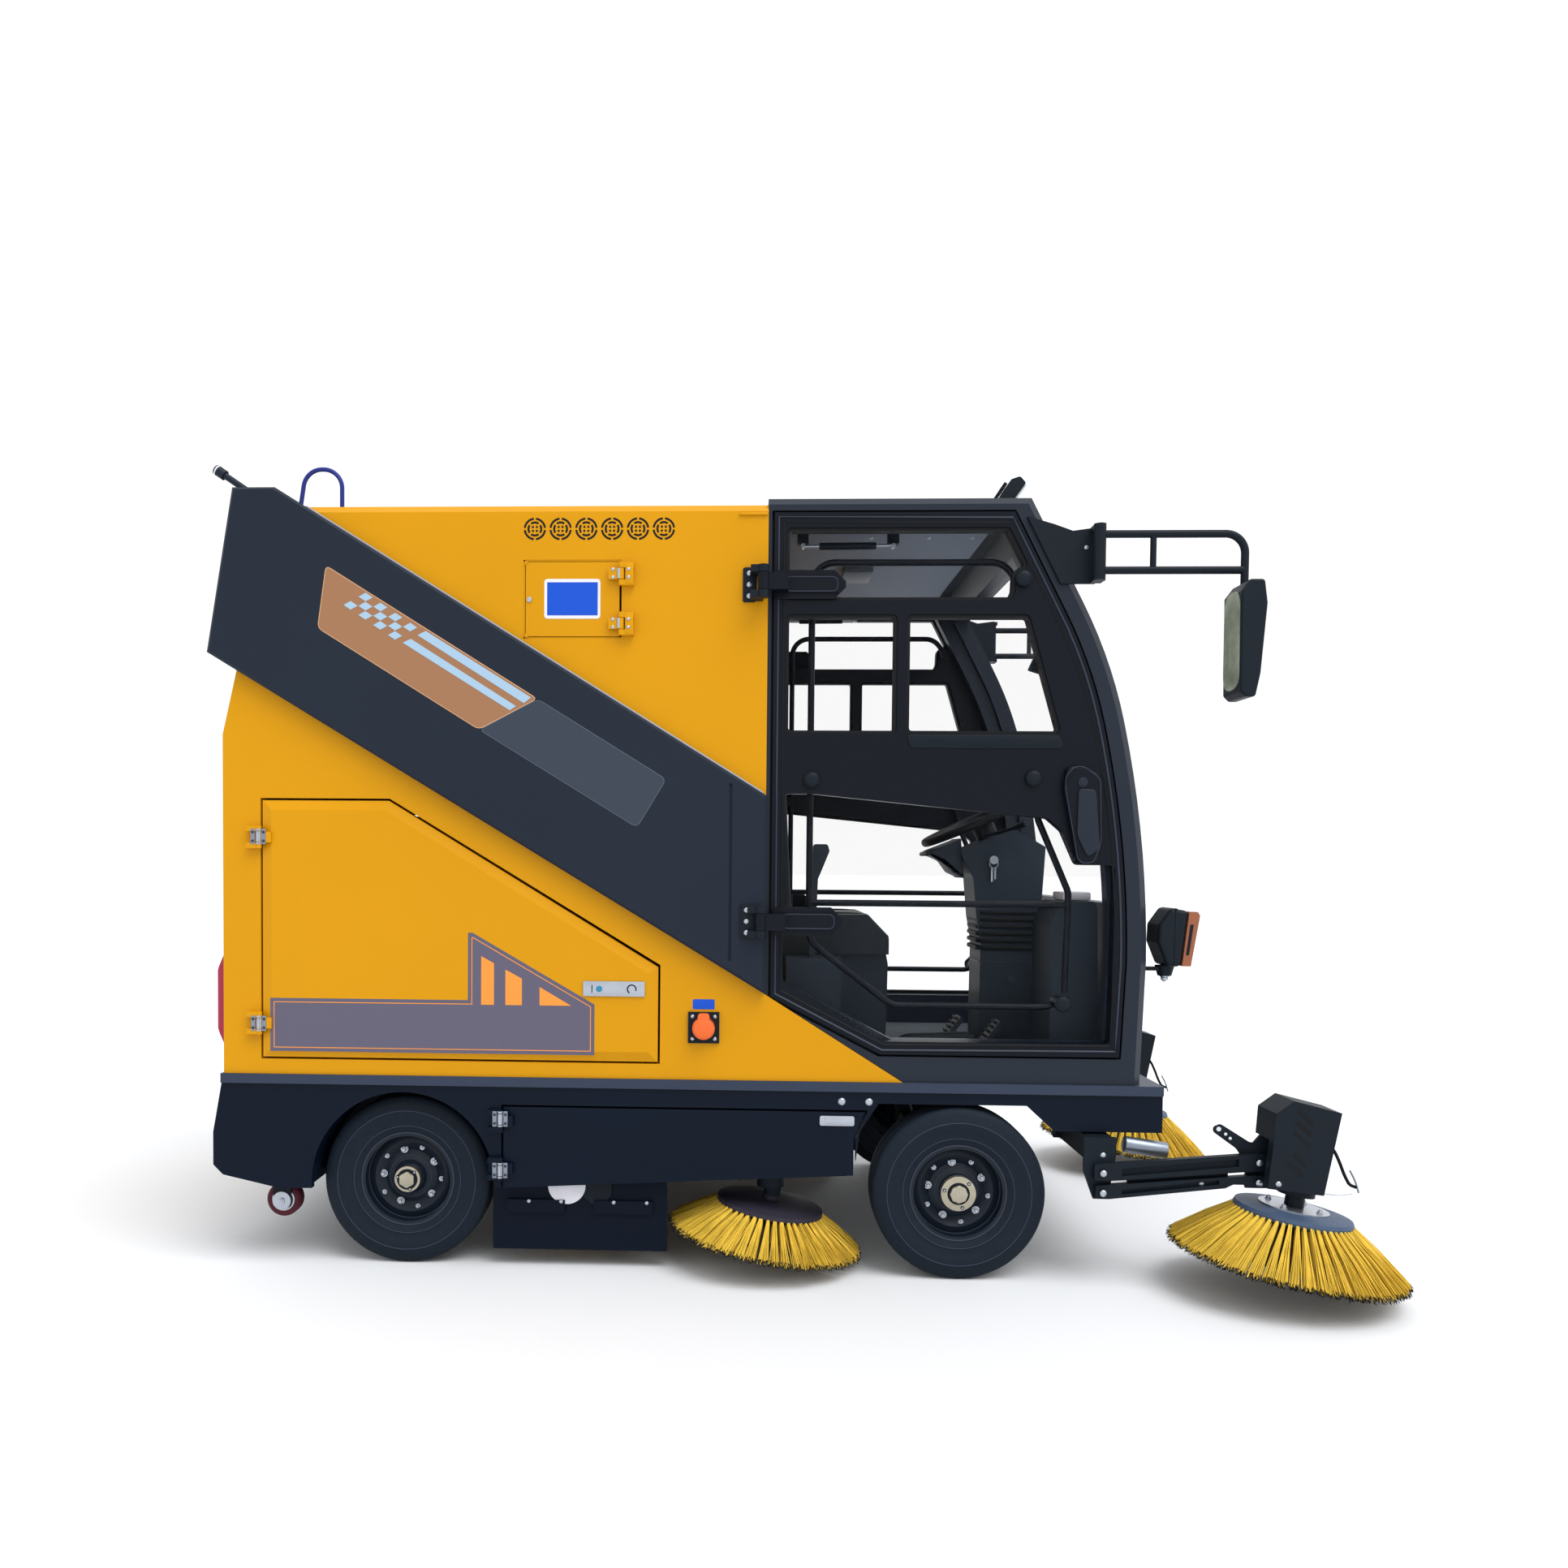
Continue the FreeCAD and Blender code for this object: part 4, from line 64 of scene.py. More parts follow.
# Every x below is measured from a datum this far ahead of the frame's origin.
DATUM = Vector((0.017, 0, 0))


# ---------------------------------------------------------------- materials
def srgb(*values):
    def one(v):
        v = v / 255
        return v / 12.92 if v <= 0.04045 else ((v + 0.055) / 1.055) ** 2.4
    return tuple(one(v) for v in values) + (1.0,)


def material(name, color, rough=0.5, metal=0.0, coat=0.0, spots=0.0, bump=0.0, scale=40.0, alpha=1.0,
             shine=0.2):
    """A painted, plastic, rubber or metal surface with a faint mottle and grain."""
    mat = bpy.data.materials.new(name)
    mat.use_nodes = True
    tree = mat.node_tree
    shader = tree.nodes["Principled BSDF"]
    shader.inputs["Base Color"].default_value = srgb(*color)
    shader.inputs["Roughness"].default_value = rough
    shader.inputs["Metallic"].default_value = metal
    shader.inputs["Specular IOR Level"].default_value = shine
    shader.inputs["Coat Weight"].default_value = coat
    shader.inputs["Coat Roughness"].default_value = 0.1
    shader.inputs["Alpha"].default_value = alpha
    place = tree.nodes.new("ShaderNodeTexCoord")
    noise = tree.nodes.new("ShaderNodeTexNoise")
    noise.inputs["Scale"].default_value = scale
    noise.inputs["Detail"].default_value = 4
    tree.links.new(place.outputs["Object"], noise.inputs["Vector"])
    if spots:
        mix = tree.nodes.new("ShaderNodeMix")
        mix.data_type = "RGBA"
        mix.inputs["A"].default_value = srgb(*(min(255, c * (1 + spots)) for c in color))
        mix.inputs["B"].default_value = srgb(*(c * (1 - spots) for c in color))
        tree.links.new(noise.outputs["Fac"], mix.inputs["Factor"])
        tree.links.new(mix.outputs["Result"], shader.inputs["Base Color"])
    if bump:
        height = tree.nodes.new("ShaderNodeBump")
        height.inputs["Strength"].default_value = bump
        height.inputs["Distance"].default_value = 0.001
        tree.links.new(noise.outputs["Fac"], height.inputs["Height"])
        tree.links.new(height.outputs["Normal"], shader.inputs["Normal"])
    return mat


MAT = {
    "yellow_paint": material("yellow_paint", (199, 139, 3), 0.36, coat=0.03, spots=0.03, scale=2, shine=0.12),
    "slate_paint": material("slate_paint", (28, 36, 48), 0.44, coat=0.02, spots=0.06, scale=2, shine=0.12),
    "cab_paint": material("cab_paint", (10, 15, 24), 0.4, coat=0.02, spots=0.08, scale=3, shine=0.12),
    "frame_paint": material("frame_paint", (30, 37, 48), 0.38, coat=0.03, spots=0.06, scale=3, shine=0.16),
    "dark_parts": material("dark_parts", (20, 27, 35), 0.48, spots=0.12, scale=5, shine=0.12),
    "cabin_plastic": material("cabin_plastic", (42, 51, 61), 0.5, spots=0.08, scale=6, shine=0.15),
    "skirt_paint": material("skirt_paint", (6, 17, 32), 0.4, coat=0.02, spots=0.08, scale=4, shine=0.1),
    "grey_trim": material("grey_trim", (48, 57, 74), 0.4, spots=0.05, scale=6, shine=0.15),
    "tyre": material("tyre_rubber", (21, 29, 39), 0.6, spots=0.12, bump=0.2, scale=70, shine=0.12),
    "rim_steel": material("rim_steel", (19, 27, 38), 0.34, coat=0.05, spots=0.1, scale=8, shine=0.18),
    "axle_iron": material("axle_iron", (28, 31, 38), 0.6, metal=0.4, spots=0.2, scale=20),
    "bristle": material("bristle_plastic", (218, 182, 64), 0.5, spots=0.12, scale=30, shine=0.15),
    "bristle_tip": material("bristle_tip", (34, 32, 28), 0.7),
    # Painted shade: the dark brown cone stands in for the shade between the tufts.
    "bristle_shade_core": material("bristle_shade_core", (52, 42, 20), 0.8),
    "disc_blue": material("disc_blue", (60, 76, 100), 0.5, spots=0.08, bump=0.2, scale=50),
    "disc_plum": material("disc_plum", (44, 42, 54), 0.5, spots=0.08, bump=0.2, scale=50),
    "glass": material("cab_glass", (20, 27, 35), 0.02, alpha=0.03, shine=0.4),
    "zinc_steel": material("zinc_steel", (176, 182, 192), 0.3, metal=0.9, spots=0.06, scale=30),
    "ram_steel": material("ram_steel", (132, 140, 152), 0.34, metal=0.8, spots=0.06, scale=30),
    "brass": material("brass_plate", (172, 166, 148), 0.3, metal=0.9, spots=0.1, scale=40),
    "roller_rubber": material("roller_rubber", (78, 22, 36), 0.5),
    "seat_vinyl": material("seat_vinyl", (30, 38, 45), 0.45, bump=0.1, scale=60),
    # Painted highlight: pale grey that stands in for the light caught along the cover's top edge.
    "edge_highlight": material("edge_highlight", (150, 156, 168), 0.4, shine=0.3),
    "amber": material("amber_lens", (140, 82, 54), 0.3, coat=0.3),
    "red_lens": material("red_lens", (150, 12, 56), 0.2, coat=0.6),
    "clear_lens": material("clear_lens", (206, 214, 218), 0.15, coat=0.8),
    "curtain_rubber": material("curtain_rubber", (6, 15, 29), 0.6, shine=0.1),
    "wheel_grip": material("wheel_grip", (16, 19, 24), 0.5, bump=0.2, scale=150),
    "blue_hose": material("blue_hose", (32, 45, 122), 0.4),
    "seal": material("seal_rubber", (8, 11, 16), 0.6),
    # Painted highlight: pale grey-blue for the light caught on the door bead, handle pod, hinge pads and rim lips; it
    # is also the plain colour of screw heads and the column seam.
    "bead_and_highlight": material("bead_and_highlight_rubber", (44, 52, 66), 0.4, shine=0.25),
    # Painted light: this grey is lighter than the headliner's own, to make up for the little light that reaches the
    # cab roof; the washer bottle shares it.
    "headliner": material("headliner", (122, 132, 148), 0.7, bump=0.3, scale=90),
    "mat": material("floor_mat", (84, 92, 100), 0.85, bump=0.5, scale=120),
    "tan_decal": material("tan_decal", (148, 106, 74), 0.45, coat=0.1),
    "tan_edge": material("tan_edge", (204, 158, 118), 0.4),
    "sky_decal": material("sky_decal", (154, 182, 204), 0.4, coat=0.05, shine=0.15),
    "plate_decal": material("plate_decal", (54, 61, 74), 0.36, coat=0.03, shine=0.12),
    "plate_edge": material("plate_edge", (82, 90, 102), 0.4, shine=0.12),
    "grape_decal": material("grape_decal", (92, 88, 106), 0.4, coat=0.03, shine=0.12),
    "orange_decal": material("orange_decal", (224, 142, 60), 0.4, coat=0.05, shine=0.15),
    "sign_blue": material("sign_blue", (8, 74, 190), 0.35, coat=0.1),
    "sign_pale": material("sign_pale", (214, 214, 222), 0.4),
    "orange_cap": material("orange_cap", (222, 100, 44), 0.4, coat=0.1),
    # Partly real reflection from the metallic share, partly painted reflection: the pale grey-green base and strong
    # mottle stand in for what the mirror shows.
    "mirror": material("mirror_pane", (140, 148, 128), 0.14, metal=0.35, spots=0.3, scale=26, shine=0.5),
    "teal": material("lock_teal", (30, 120, 160), 0.3, coat=0.5),
}
LOOKS = {
    "tyre": ("tyre_",), "rim_steel": ("rim_",), "axle_iron": ("front_axle", "rear_axle", "knuckle"),
    "curtain_rubber": ("brush_curtains",), "bristle": ("front_brush", "mid_brush", "main_brush"),
    "glass": ("door_glass", "windscreen"), "roller_rubber": ("roller",), "skirt_paint": ("skirt",),
    "yellow_paint": ("body_shell", "side_door", "water_door", "rear_door"), "slate_paint": ("slant_cover",),
    "cab_paint": ("cab_door",), "frame_paint": ("cab_frame",), "grey_trim": ("deck_plate",),
    "cabin_plastic": ("seat_box", "steering_column", "cab_controls"), "seat_vinyl": ("driver_seat",),
    "amber": ("lamp_lenses",), "red_lens": ("tail_lamps",), "wheel_grip": ("steering_wheel",),
    "blue_hose": ("roof_hose",),
}


def look(node):
    for finish, starts in LOOKS.items():
        if node.startswith(starts):
            return finish
    return "dark_parts"


for name, node in NODES.items():
    node.data.materials.clear()
    node.data.materials.append(MAT[look(name)])


# ---------------------------------------------------------------- shapes
class Batch:
    """Collects small shapes of one finish that ride on one body into one piece."""

    def __init__(self, name, body, finish):
        self.name, self.body, self.finish = name, body, finish
        self.bm = bmesh.new()

    def box(self, low, high, bevel=0.0):
        size = [b - a for a, b in zip(low, high)]
        middle = [(a + b) / 2 for a, b in zip(low, high)]
        spot = Matrix.Translation(middle) @ Matrix.Diagonal((*size, 1))
        new = bmesh.ops.create_cube(self.bm, size=1, matrix=spot)["verts"]
        self.soften(new, bevel)

    def prism(self, outline, low, high, axis="Y", bevel=0.0):
        """Outline points, (x, z) for axis Y, (y, z) for X and (x, y) for Z, run from low to high."""
        def at(point, depth):
            u, v = point
            return {"Y": (u, depth, v), "X": (depth, u, v), "Z": (u, v, depth)}[axis]
        ends = [[self.bm.verts.new(at(p, depth)) for p in outline] for depth in (low, high)]
        faces = [self.bm.faces.new(ends[0]), self.bm.faces.new(ends[1][::-1])]
        for i in range(len(outline)):
            j = (i + 1) % len(outline)
            faces.append(self.bm.faces.new((ends[0][j], ends[0][i], ends[1][i], ends[1][j])))
        bmesh.ops.recalc_face_normals(self.bm, faces=faces)
        self.soften(ends[0] + ends[1], bevel)

    def soften(self, verts, bevel):
        if not bevel:
            return
        edges = {e for v in verts for e in v.link_edges}
        bmesh.ops.bevel(self.bm, geom=list(edges), offset=bevel, segments=2, profile=0.5, affect="EDGES")

    def rod(self, start, end, radius, sides=20, tip=None, bevel=0.0):
        start, end = Vector(start), Vector(end)
        way = end - start
        turn = way.to_track_quat("Z", "Y").to_matrix().to_4x4()
        spot = Matrix.Translation((start + end) / 2) @ turn
        new = bmesh.ops.create_cone(self.bm, cap_ends=True, segments=sides, radius1=radius, matrix=spot,
                                    radius2=radius if tip is None else tip, depth=way.length)["verts"]
        if bevel:
            self.soften(new, bevel)

    def dome(self, centre, way, radius, height):
        """Button head: a low dome that faces along way."""
        way = Vector(way).normalized()
        turn = way.to_track_quat("Z", "Y").to_matrix().to_4x4()
        rings = []
        for step in range(4):
            angle = math.radians(22.5 * step)
            spread, lift = radius * math.cos(angle), height * math.sin(angle)
            rings.append([self.bm.verts.new(Matrix.Translation(centre) @ turn @ Vector(
                (spread * math.cos(a), spread * math.sin(a), lift))) for a in
                [2 * math.pi * k / 14 for k in range(14)]])
        for low, high in zip(rings, rings[1:]):
            for k in range(14):
                self.bm.faces.new((low[k], low[(k + 1) % 14], high[(k + 1) % 14], high[k]))
        self.bm.faces.new(rings[-1])

    def nut(self, centre, way, radius, height):
        way = Vector(way).normalized()
        centre = Vector(centre)
        self.rod(centre, centre + way * height * 0.25, radius * 1.25, 18)
        self.rod(centre, centre + way * height, radius, 6, bevel=radius * 0.08)
        self.rod(centre, centre + way * height * 1.35, radius * 0.5, 12)

    def ring(self, centre, way, radius, thick, sides=48, turn_from=0.0, turn_to=360.0, flat=1.0):
        """Torus, or part of one, about an axis."""
        turn = Vector(way).to_track_quat("Z", "Y").to_matrix().to_4x4()
        spot = Matrix.Translation(centre) @ turn
        whole = abs(turn_to - turn_from) > 359.9
        loops = []
        for k in range(sides if whole else sides + 1):
            a = math.radians(turn_from + (turn_to - turn_from) * k / sides)
            loops.append([self.bm.verts.new(spot @ Vector((
                (radius + thick * math.cos(b)) * math.cos(a), (radius + thick * math.cos(b)) * math.sin(a),
                thick * math.sin(b) * flat))) for b in [2 * math.pi * j / 8 for j in range(8)]])
        for low, high in zip(loops, loops[1:] + (loops[:1] if whole else [])):
            for j in range(8):
                self.bm.faces.new((low[j], high[j], high[(j + 1) % 8], low[(j + 1) % 8]))

    def tube(self, points, radius, bend=0.0, sides=12, flat_ends=0.0):
        """Tube through the points, with its corners rounded to the bend radius."""
        path = rounded([Vector(p) for p in points], bend)
        loops = []
        normal = None
        for i, spot in enumerate(path):
            way = (path[min(i + 1, len(path) - 1)] - path[max(i - 1, 0)]).normalized()
            if normal is None:
                normal = way.orthogonal().normalized()
            normal = (normal - way * normal.dot(way)).normalized()
            across = way.cross(normal)
            loops.append([self.bm.verts.new(spot + (normal * math.cos(a) + across * math.sin(a)) * radius)
                          for a in [2 * math.pi * k / sides for k in range(sides)]])
        for low, high in zip(loops, loops[1:]):
            for k in range(sides):
                self.bm.faces.new((low[k], low[(k + 1) % sides], high[(k + 1) % sides], high[k]))
        self.bm.faces.new(loops[0][::-1])
        self.bm.faces.new(loops[-1])

    def lathe(self, centre, way, profile, sides=64):
        """Revolves (radius, height) points about an axis; the profile closes on itself."""
        turn = Vector(way).to_track_quat("Z", "Y").to_matrix().to_4x4()
        spot = Matrix.Translation(centre) @ turn
        loops = [[self.bm.verts.new(spot @ Vector((r * math.cos(a), r * math.sin(a), h))) for r, h in profile]
                 for a in [2 * math.pi * k / sides for k in range(sides)]]
        count = len(profile)
        for low, high in zip(loops, loops[1:] + loops[:1]):
            for j in range(count):
                self.bm.faces.new((low[j], high[j], high[(j + 1) % count], low[(j + 1) % count]))
        return loops

    def done(self, angle=35):
        bmesh.ops.recalc_face_normals(self.bm, faces=self.bm.faces[:])
        mesh = bpy.data.meshes.new(self.name)
        self.bm.to_mesh(mesh)
        self.bm.free()
        mesh.transform(Matrix.Translation(DATUM))
        mesh.shade_smooth()
        mesh.set_sharp_from_angle(angle=math.radians(angle))
        mesh.materials.append(MAT[self.finish])
        piece = bpy.data.objects.new(self.name, mesh)
        bpy.context.scene.collection.objects.link(piece)
        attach(piece, self.body)
        return piece


def rounded(points, bend, steps=7):
    """The route with each inner corner replaced by an arc-like curve."""
    if not bend:
        return points
    path = [points[0]]
    for before, corner, after in zip(points, points[1:], points[2:]):
        back, ahead = (before - corner), (after - corner)
        reach = min(bend, back.length * 0.48, ahead.length * 0.48)
        start, end = corner + back.normalized() * reach, corner + ahead.normalized() * reach
        for k in range(steps + 1):
            t = k / steps
            path.append(start * (1 - t) ** 2 + corner * 2 * t * (1 - t) + end * t ** 2)
    return path + [points[-1]]


def soft(points, radius, steps=5):
    """A closed 2D outline with its corners rounded."""
    ring = [Vector((u, v, 0)) for u, v in points]
    path = []
    for i, corner in enumerate(ring):
        back, ahead = ring[i - 1] - corner, ring[(i + 1) % len(ring)] - corner
        reach = min(radius, back.length * 0.48, ahead.length * 0.48)
        start, end = corner + back.normalized() * reach, corner + ahead.normalized() * reach
        for k in range(steps + 1):
            t = k / steps
            spot = start * (1 - t) ** 2 + corner * 2 * t * (1 - t) + end * t ** 2
            path.append((spot.x, spot.y))
    return path


def node_box(node):
    """Corners of a CAD node's box, from the datum."""
    low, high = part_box(node)
    return low - DATUM, high - DATUM


def band(x0, x1, z0, z1):
    return [(x0, z0), (x1, z0), (x1, z1), (x0, z1)]


TREES = {}


def skin(x, z, q, *nodes):
    """Y of the outermost surface of the nodes at (x, z), met from side q."""
    best = None
    for node in nodes:
        if node not in TREES:
            mesh = NODES[node].data
            TREES[node] = BVHTree.FromPolygons([v.co for v in mesh.vertices],
                                               [p.vertices for p in mesh.polygons])
        spot = TREES[node].ray_cast(Vector((x + DATUM.x, 3 * q, z)), Vector((0, -q, 0)))[0]
        if spot is not None and (best is None or spot.y * q > best * q):
            best = spot.y
    return best


# ---------------------------------------------------------------- wheels
def wheel(end, side, q):
    node = "tyre_%s_%s" % (end, side)
    body = "wheel_%s_%s" % (end, side)
    low, high = node_box(node)
    centre = (low + high) / 2
    radius = (high.z - low.z) / 2
    half = (high.y - low.y) / 2
    rubber = Batch("tread_%s_%s" % (end, side), body, "tyre")
    flank = [(0.128, half * 0.72), (0.146, half * 0.84), (0.149, half * 0.86), (0.152, half * 0.84),
             (0.170, half * 0.97), (0.190, half), (0.1925, half * 1.0), (0.195, half * 0.985), (0.212, half * 0.93),
             (radius - 0.006, half * 0.84), (radius - 0.001, half * 0.74)]
    groove = []
    for middle in (0.55, 0.0, -0.55):
        y = middle * half * 0.62
        groove += [(radius, y + 0.005), (radius - 0.006, y + 0.003), (radius - 0.006, y - 0.003), (radius, y - 0.005)]
    profile = flank + groove + [(r, -h) for r, h in flank[::-1]] + [(0.128, 0)]
    sides = 96
    rubber.lathe(centre, (0, 1, 0), profile, sides)
    piece = rubber.done(50)
    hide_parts(node)
    # Lighter rings on the sidewall ridges: painted highlights.
    line = Batch("tyre_lines_%s_%s" % (end, side), body, "grey_trim")
    for way in (-1, 1):
        line.ring((centre.x, centre.y + way * half * 0.995, centre.z), (0, 1, 0), 0.1925, 0.0013, 96)
        line.ring((centre.x, centre.y + way * half * 0.85, centre.z), (0, 1, 0), 0.149, 0.0012, 96)
    line.done()
    studs = Batch("nuts_%s_%s" % (end, side), body, "zinc_steel")
    pads = Batch("nut_seats_%s_%s" % (end, side), body, "dark_parts")
    turn = 99 if end == "front" else 104
    rim = "rim_%s_%s" % (end, side)
    for k in range(5):
        for angle, reach, size in ((turn + 72 * k, 0.077, 0.0085), (turn - 36 + 72 * k, 0.087, 0.0055)):
            a = math.radians(angle)
            x, z = centre.x + reach * math.cos(a), centre.z + reach * math.sin(a)
            y = skin(x, z, q, rim)
            if size > 0.006:
                pads.rod((x, y - 0.001 * q, z), (x, y + 0.002 * q, z), size * 1.5, 20)
            tall = 0.009 if size > 0.006 else 0.006
            studs.nut((x, y + 0.001 * q, z), (0, q, 0), size, tall)
            top = y + (0.001 + tall) * q
            pads.rod((x, top, z), (x, top + 0.0004 * q, z), size * 0.66, 16)
            studs.rod((x, top, z), (x, top + 0.0022 * q, z), size * 0.40, 12)
    hub = node_box(rim)
    y = skin(centre.x, centre.z, q, rim)
    cap = Batch("hub_%s_%s" % (end, side), body, "brass")
    ring_r, cap_r = (0.047, 0.026) if end == "front" else (0.036, 0.025)
    root = skin(centre.x + 0.04, centre.z, q, rim)
    cap.rod((centre.x, root, centre.z), (centre.x, y + 0.0012 * q, centre.z), ring_r, 40, bevel=0.0015)
    pads.rod((centre.x, y, centre.z), (centre.x, y + 0.0020 * q, centre.z), cap_r + 0.004, 32)
    cap.rod((centre.x, y, centre.z), (centre.x, y + 0.012 * q, centre.z), cap_r - 0.001, 8 if end == "front" else 6,
            bevel=0.004)
    cap.done()
    for angle in (45, 167, 286):
        a = math.radians(angle)
        x, z = centre.x + (ring_r - 0.008) * math.cos(a), centre.z + (ring_r - 0.008) * math.sin(a)
        pads.rod((x, y, z), (x, y + 0.0020 * q, z), 0.0052, 14)
        studs.rod((x, y, z), (x, y + 0.0032 * q, z), 0.0026, 12)
    # Pale rings on the rim lips: painted highlights.
    fine = Batch("rim_lines_%s_%s" % (end, side), body, "bead_and_highlight")
    for r, bump in ((0.1185, 0.0016), (0.1285, 0.0022), (0.058, 0.0012)):
        y = skin(centre.x, centre.z + r, q, rim)
        fine.ring((centre.x, y, centre.z), (0, 1, 0), r, bump, 72)
    fine.done()
    studs.done()
    pads.done()


# ---------------------------------------------------------------- brushes
def bristles(name, body, spot, lean, rows, tufts, each, tip_drop, fray):
    """Bundles of thin filaments in a ring; each row has a root radius, a root height and a tip radius."""
    turn = Matrix.Translation(spot) @ Matrix.Rotation(lean, 4, "Y")
    verts, faces, dark = [], [], []
    for root_r, root_z, tip_r in rows:
        for tuft in range(tufts):
            middle = 2 * math.pi * (tuft + random.random() * 0.16) / tufts
            pitch = 2 * math.pi / tufts
            for _ in range(each):
                place = random.uniform(-0.5, 0.5)
                a0 = middle + place * pitch * 0.40
                a1 = middle + place * pitch * 0.72 + random.gauss(0, pitch * 0.09)
                reach = tip_r + random.uniform(-fray, fray * 0.45)
                drop = tip_drop + random.uniform(-0.012, 0.004)
                thick = random.uniform(0.0010, 0.0017)
                start = root_r + random.uniform(-0.006, 0.006)
                for t in (0.0, 0.5, 0.968, 1.0):
                    r = start + (reach - start) * t
                    a = a0 + (a1 - a0) * t
                    z = root_z + (drop - root_z) * (t ** 1.12)
                    width = thick * (1.0 if t < 0.9 else 0.75)
                    for k in range(3):
                        b = 2 * math.pi * k / 3
                        aa = a + width * math.cos(b) / r
                        verts.append(turn @ Vector((r * math.cos(aa), r * math.sin(aa), z + width * math.sin(b))))
                base = len(verts) - 12
                for level in range(3):
                    for k in range(3):
                        i, j = base + level * 3 + k, base + level * 3 + (k + 1) % 3
                        faces.append((i, j, j + 3, i + 3))
                        dark.append(level == 2)
    mesh = bpy.data.meshes.new(name)
    mesh.from_pydata(verts, [], faces)
    mesh.transform(Matrix.Translation(DATUM))
    mesh.materials.append(MAT["bristle"])
    mesh.materials.append(MAT["bristle_tip"])
    mesh.polygons.foreach_set("material_index", [int(d) for d in dark])
    mesh.shade_smooth()
    piece = bpy.data.objects.new(name, mesh)
    bpy.context.scene.collection.objects.link(piece)
    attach(piece, body)
    return piece


def along(lean, spot, height):
    """Point on a leaning brush's own axis, at a height above its disc."""
    return Vector(spot) + Vector((math.sin(lean), 0, math.cos(lean))) * height


def bristle_shade_core(name, body, spot, axis, root_r, root_z, tip_r, tip_z):
    """Dark cone behind the bristles: painted shade for the shaded gaps between the tufts, which also closes the view
    between them.
    """
    core = Batch(name, body, "bristle_shade_core")
    core.lathe(spot, axis, [(root_r, root_z), (tip_r, tip_z), (tip_r - 0.003, tip_z - 0.001), (root_r - 0.004, root_z - 0.003)],
               64)
    core.done()


def front_brush(side, q):
    body = "front_brush_" + side
    lean = math.radians(8)
    spot = Vector((1.566 - 0.293 * math.cos(lean) + 0.136 * math.sin(lean), 0.700 * q, 0.221))
    axis = along(lean, (0, 0, 0), 1)
    rows = [(0.136, -0.010, 0.291), (0.128, -0.016, 0.281), (0.117, -0.020, 0.266)]
    tufts = bristles("front_bristles_" + side, body, spot, lean, rows, 56, 26, -0.131, 0.010)
    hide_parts(body)
    bristle_shade_core("front_shade_core_" + side, body, spot, axis, 0.116, -0.024, 0.236, -0.112)
    disc = Batch("front_disc_" + side, body, "disc_blue")
    disc.lathe(spot, axis, [(0.016, -0.026), (0.132, -0.026), (0.144, -0.018), (0.146, -0.010), (0.142, -0.001),
                            (0.132, 0.0), (0.105, 0.005), (0.016, 0.005)], 72)
    disc.done()
    hub = Batch("front_hub_" + side, body, "zinc_steel")
    hub.lathe(spot, axis, [(0.016, 0.005), (0.086, 0.005), (0.086, 0.0085), (0.016, 0.0085)], 48)
    for k in range(4):
        a = math.radians(45 + 90 * k)
        out = Vector((math.cos(lean) * math.cos(a), math.sin(a), -math.sin(lean) * math.cos(a))) * 0.066
        hub.nut(along(lean, spot, 0.0085) + out, axis, 0.007, 0.008)
    hub.done()
    neck = Batch("front_neck_" + side, body, "dark_parts")
    neck.lathe(spot, axis, [(0.0142, 0.008), (0.024, 0.008), (0.024, 0.030), (0.022, 0.0398), (0.0142, 0.0398)], 40)
    neck.done()


def mid_brush(side, q):
    body = "mid_brush_" + side
    lean = math.radians(9)
    spot = Vector((-0.066, 0.520 * q, 0.168))
    axis = along(lean, (0, 0, 0), 1)
    rows = [(0.138, -0.010, 0.270), (0.130, -0.016, 0.260), (0.118, -0.020, 0.244)]
    tufts = bristles("mid_bristles_" + side, body, spot, lean, rows, 50, 24, -0.092, 0.012)
    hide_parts(body)
    bristle_shade_core("mid_shade_core_" + side, body, spot, axis, 0.117, -0.024, 0.216, -0.076)
    disc = Batch("mid_disc_" + side, body, "disc_plum")
    disc.lathe(spot, axis, [(0.016, -0.024), (0.136, -0.024), (0.149, -0.014), (0.148, -0.002), (0.120, 0.004),
                            (0.070, 0.008), (0.024, 0.008), (0.024, 0.0198), (0.0142, 0.0198)], 72)
    disc.done()


def main_brush():
    """Roll with V-shaped rows of short bristle bundles."""
    low, high = node_box("main_brush")
    centre = (low + high) / 2
    reach = (high.z - low.z) / 2
    verts, faces = [], []
    columns, rows = 44, 12
    for row in range(rows):
        for column in range(columns):
            y = low.y + 0.03 + (high.y - low.y - 0.06) * column / (columns - 1)
            sweep = abs(y) * 0.9
            for _ in range(10):
                a = 2 * math.pi * row / rows + sweep + random.gauss(0, 0.05)
                b = a + random.gauss(0, 0.035)
                y0 = y + random.gauss(0, 0.004)
                y1 = y0 + random.gauss(0, 0.005)
                for r, angle, along_y in ((0.088, a, y0), (reach - random.uniform(0, 0.006), b, y1)):
                    for k in range(3):
                        c = 2 * math.pi * k / 3
                        spin = angle + 0.0014 * math.cos(c) / r
                        verts.append((centre.x + r * math.cos(spin), along_y + 0.0014 * math.sin(c),
                                      centre.z + r * math.sin(spin)))
                base = len(verts) - 6
                for k in range(3):
                    i, j = base + k, base + (k + 1) % 3
                    faces.append((i, j, j + 3, i + 3))
    mesh = bpy.data.meshes.new("main_bristles")
    mesh.from_pydata(verts, [], faces)
    mesh.transform(Matrix.Translation(DATUM))
    mesh.materials.append(MAT["bristle"])
    piece = bpy.data.objects.new("main_bristles", mesh)
    bpy.context.scene.collection.objects.link(piece)
    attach(piece, "main_brush")
    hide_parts("main_brush")
    core = Batch("main_core", "main_brush", "dark_parts")
    half = (high.y - low.y) / 2
    core.lathe(centre, (0, 1, 0), [(0.0205, -half), (0.090, -half), (0.090, half), (0.0205, half)], 48)
    core.done()


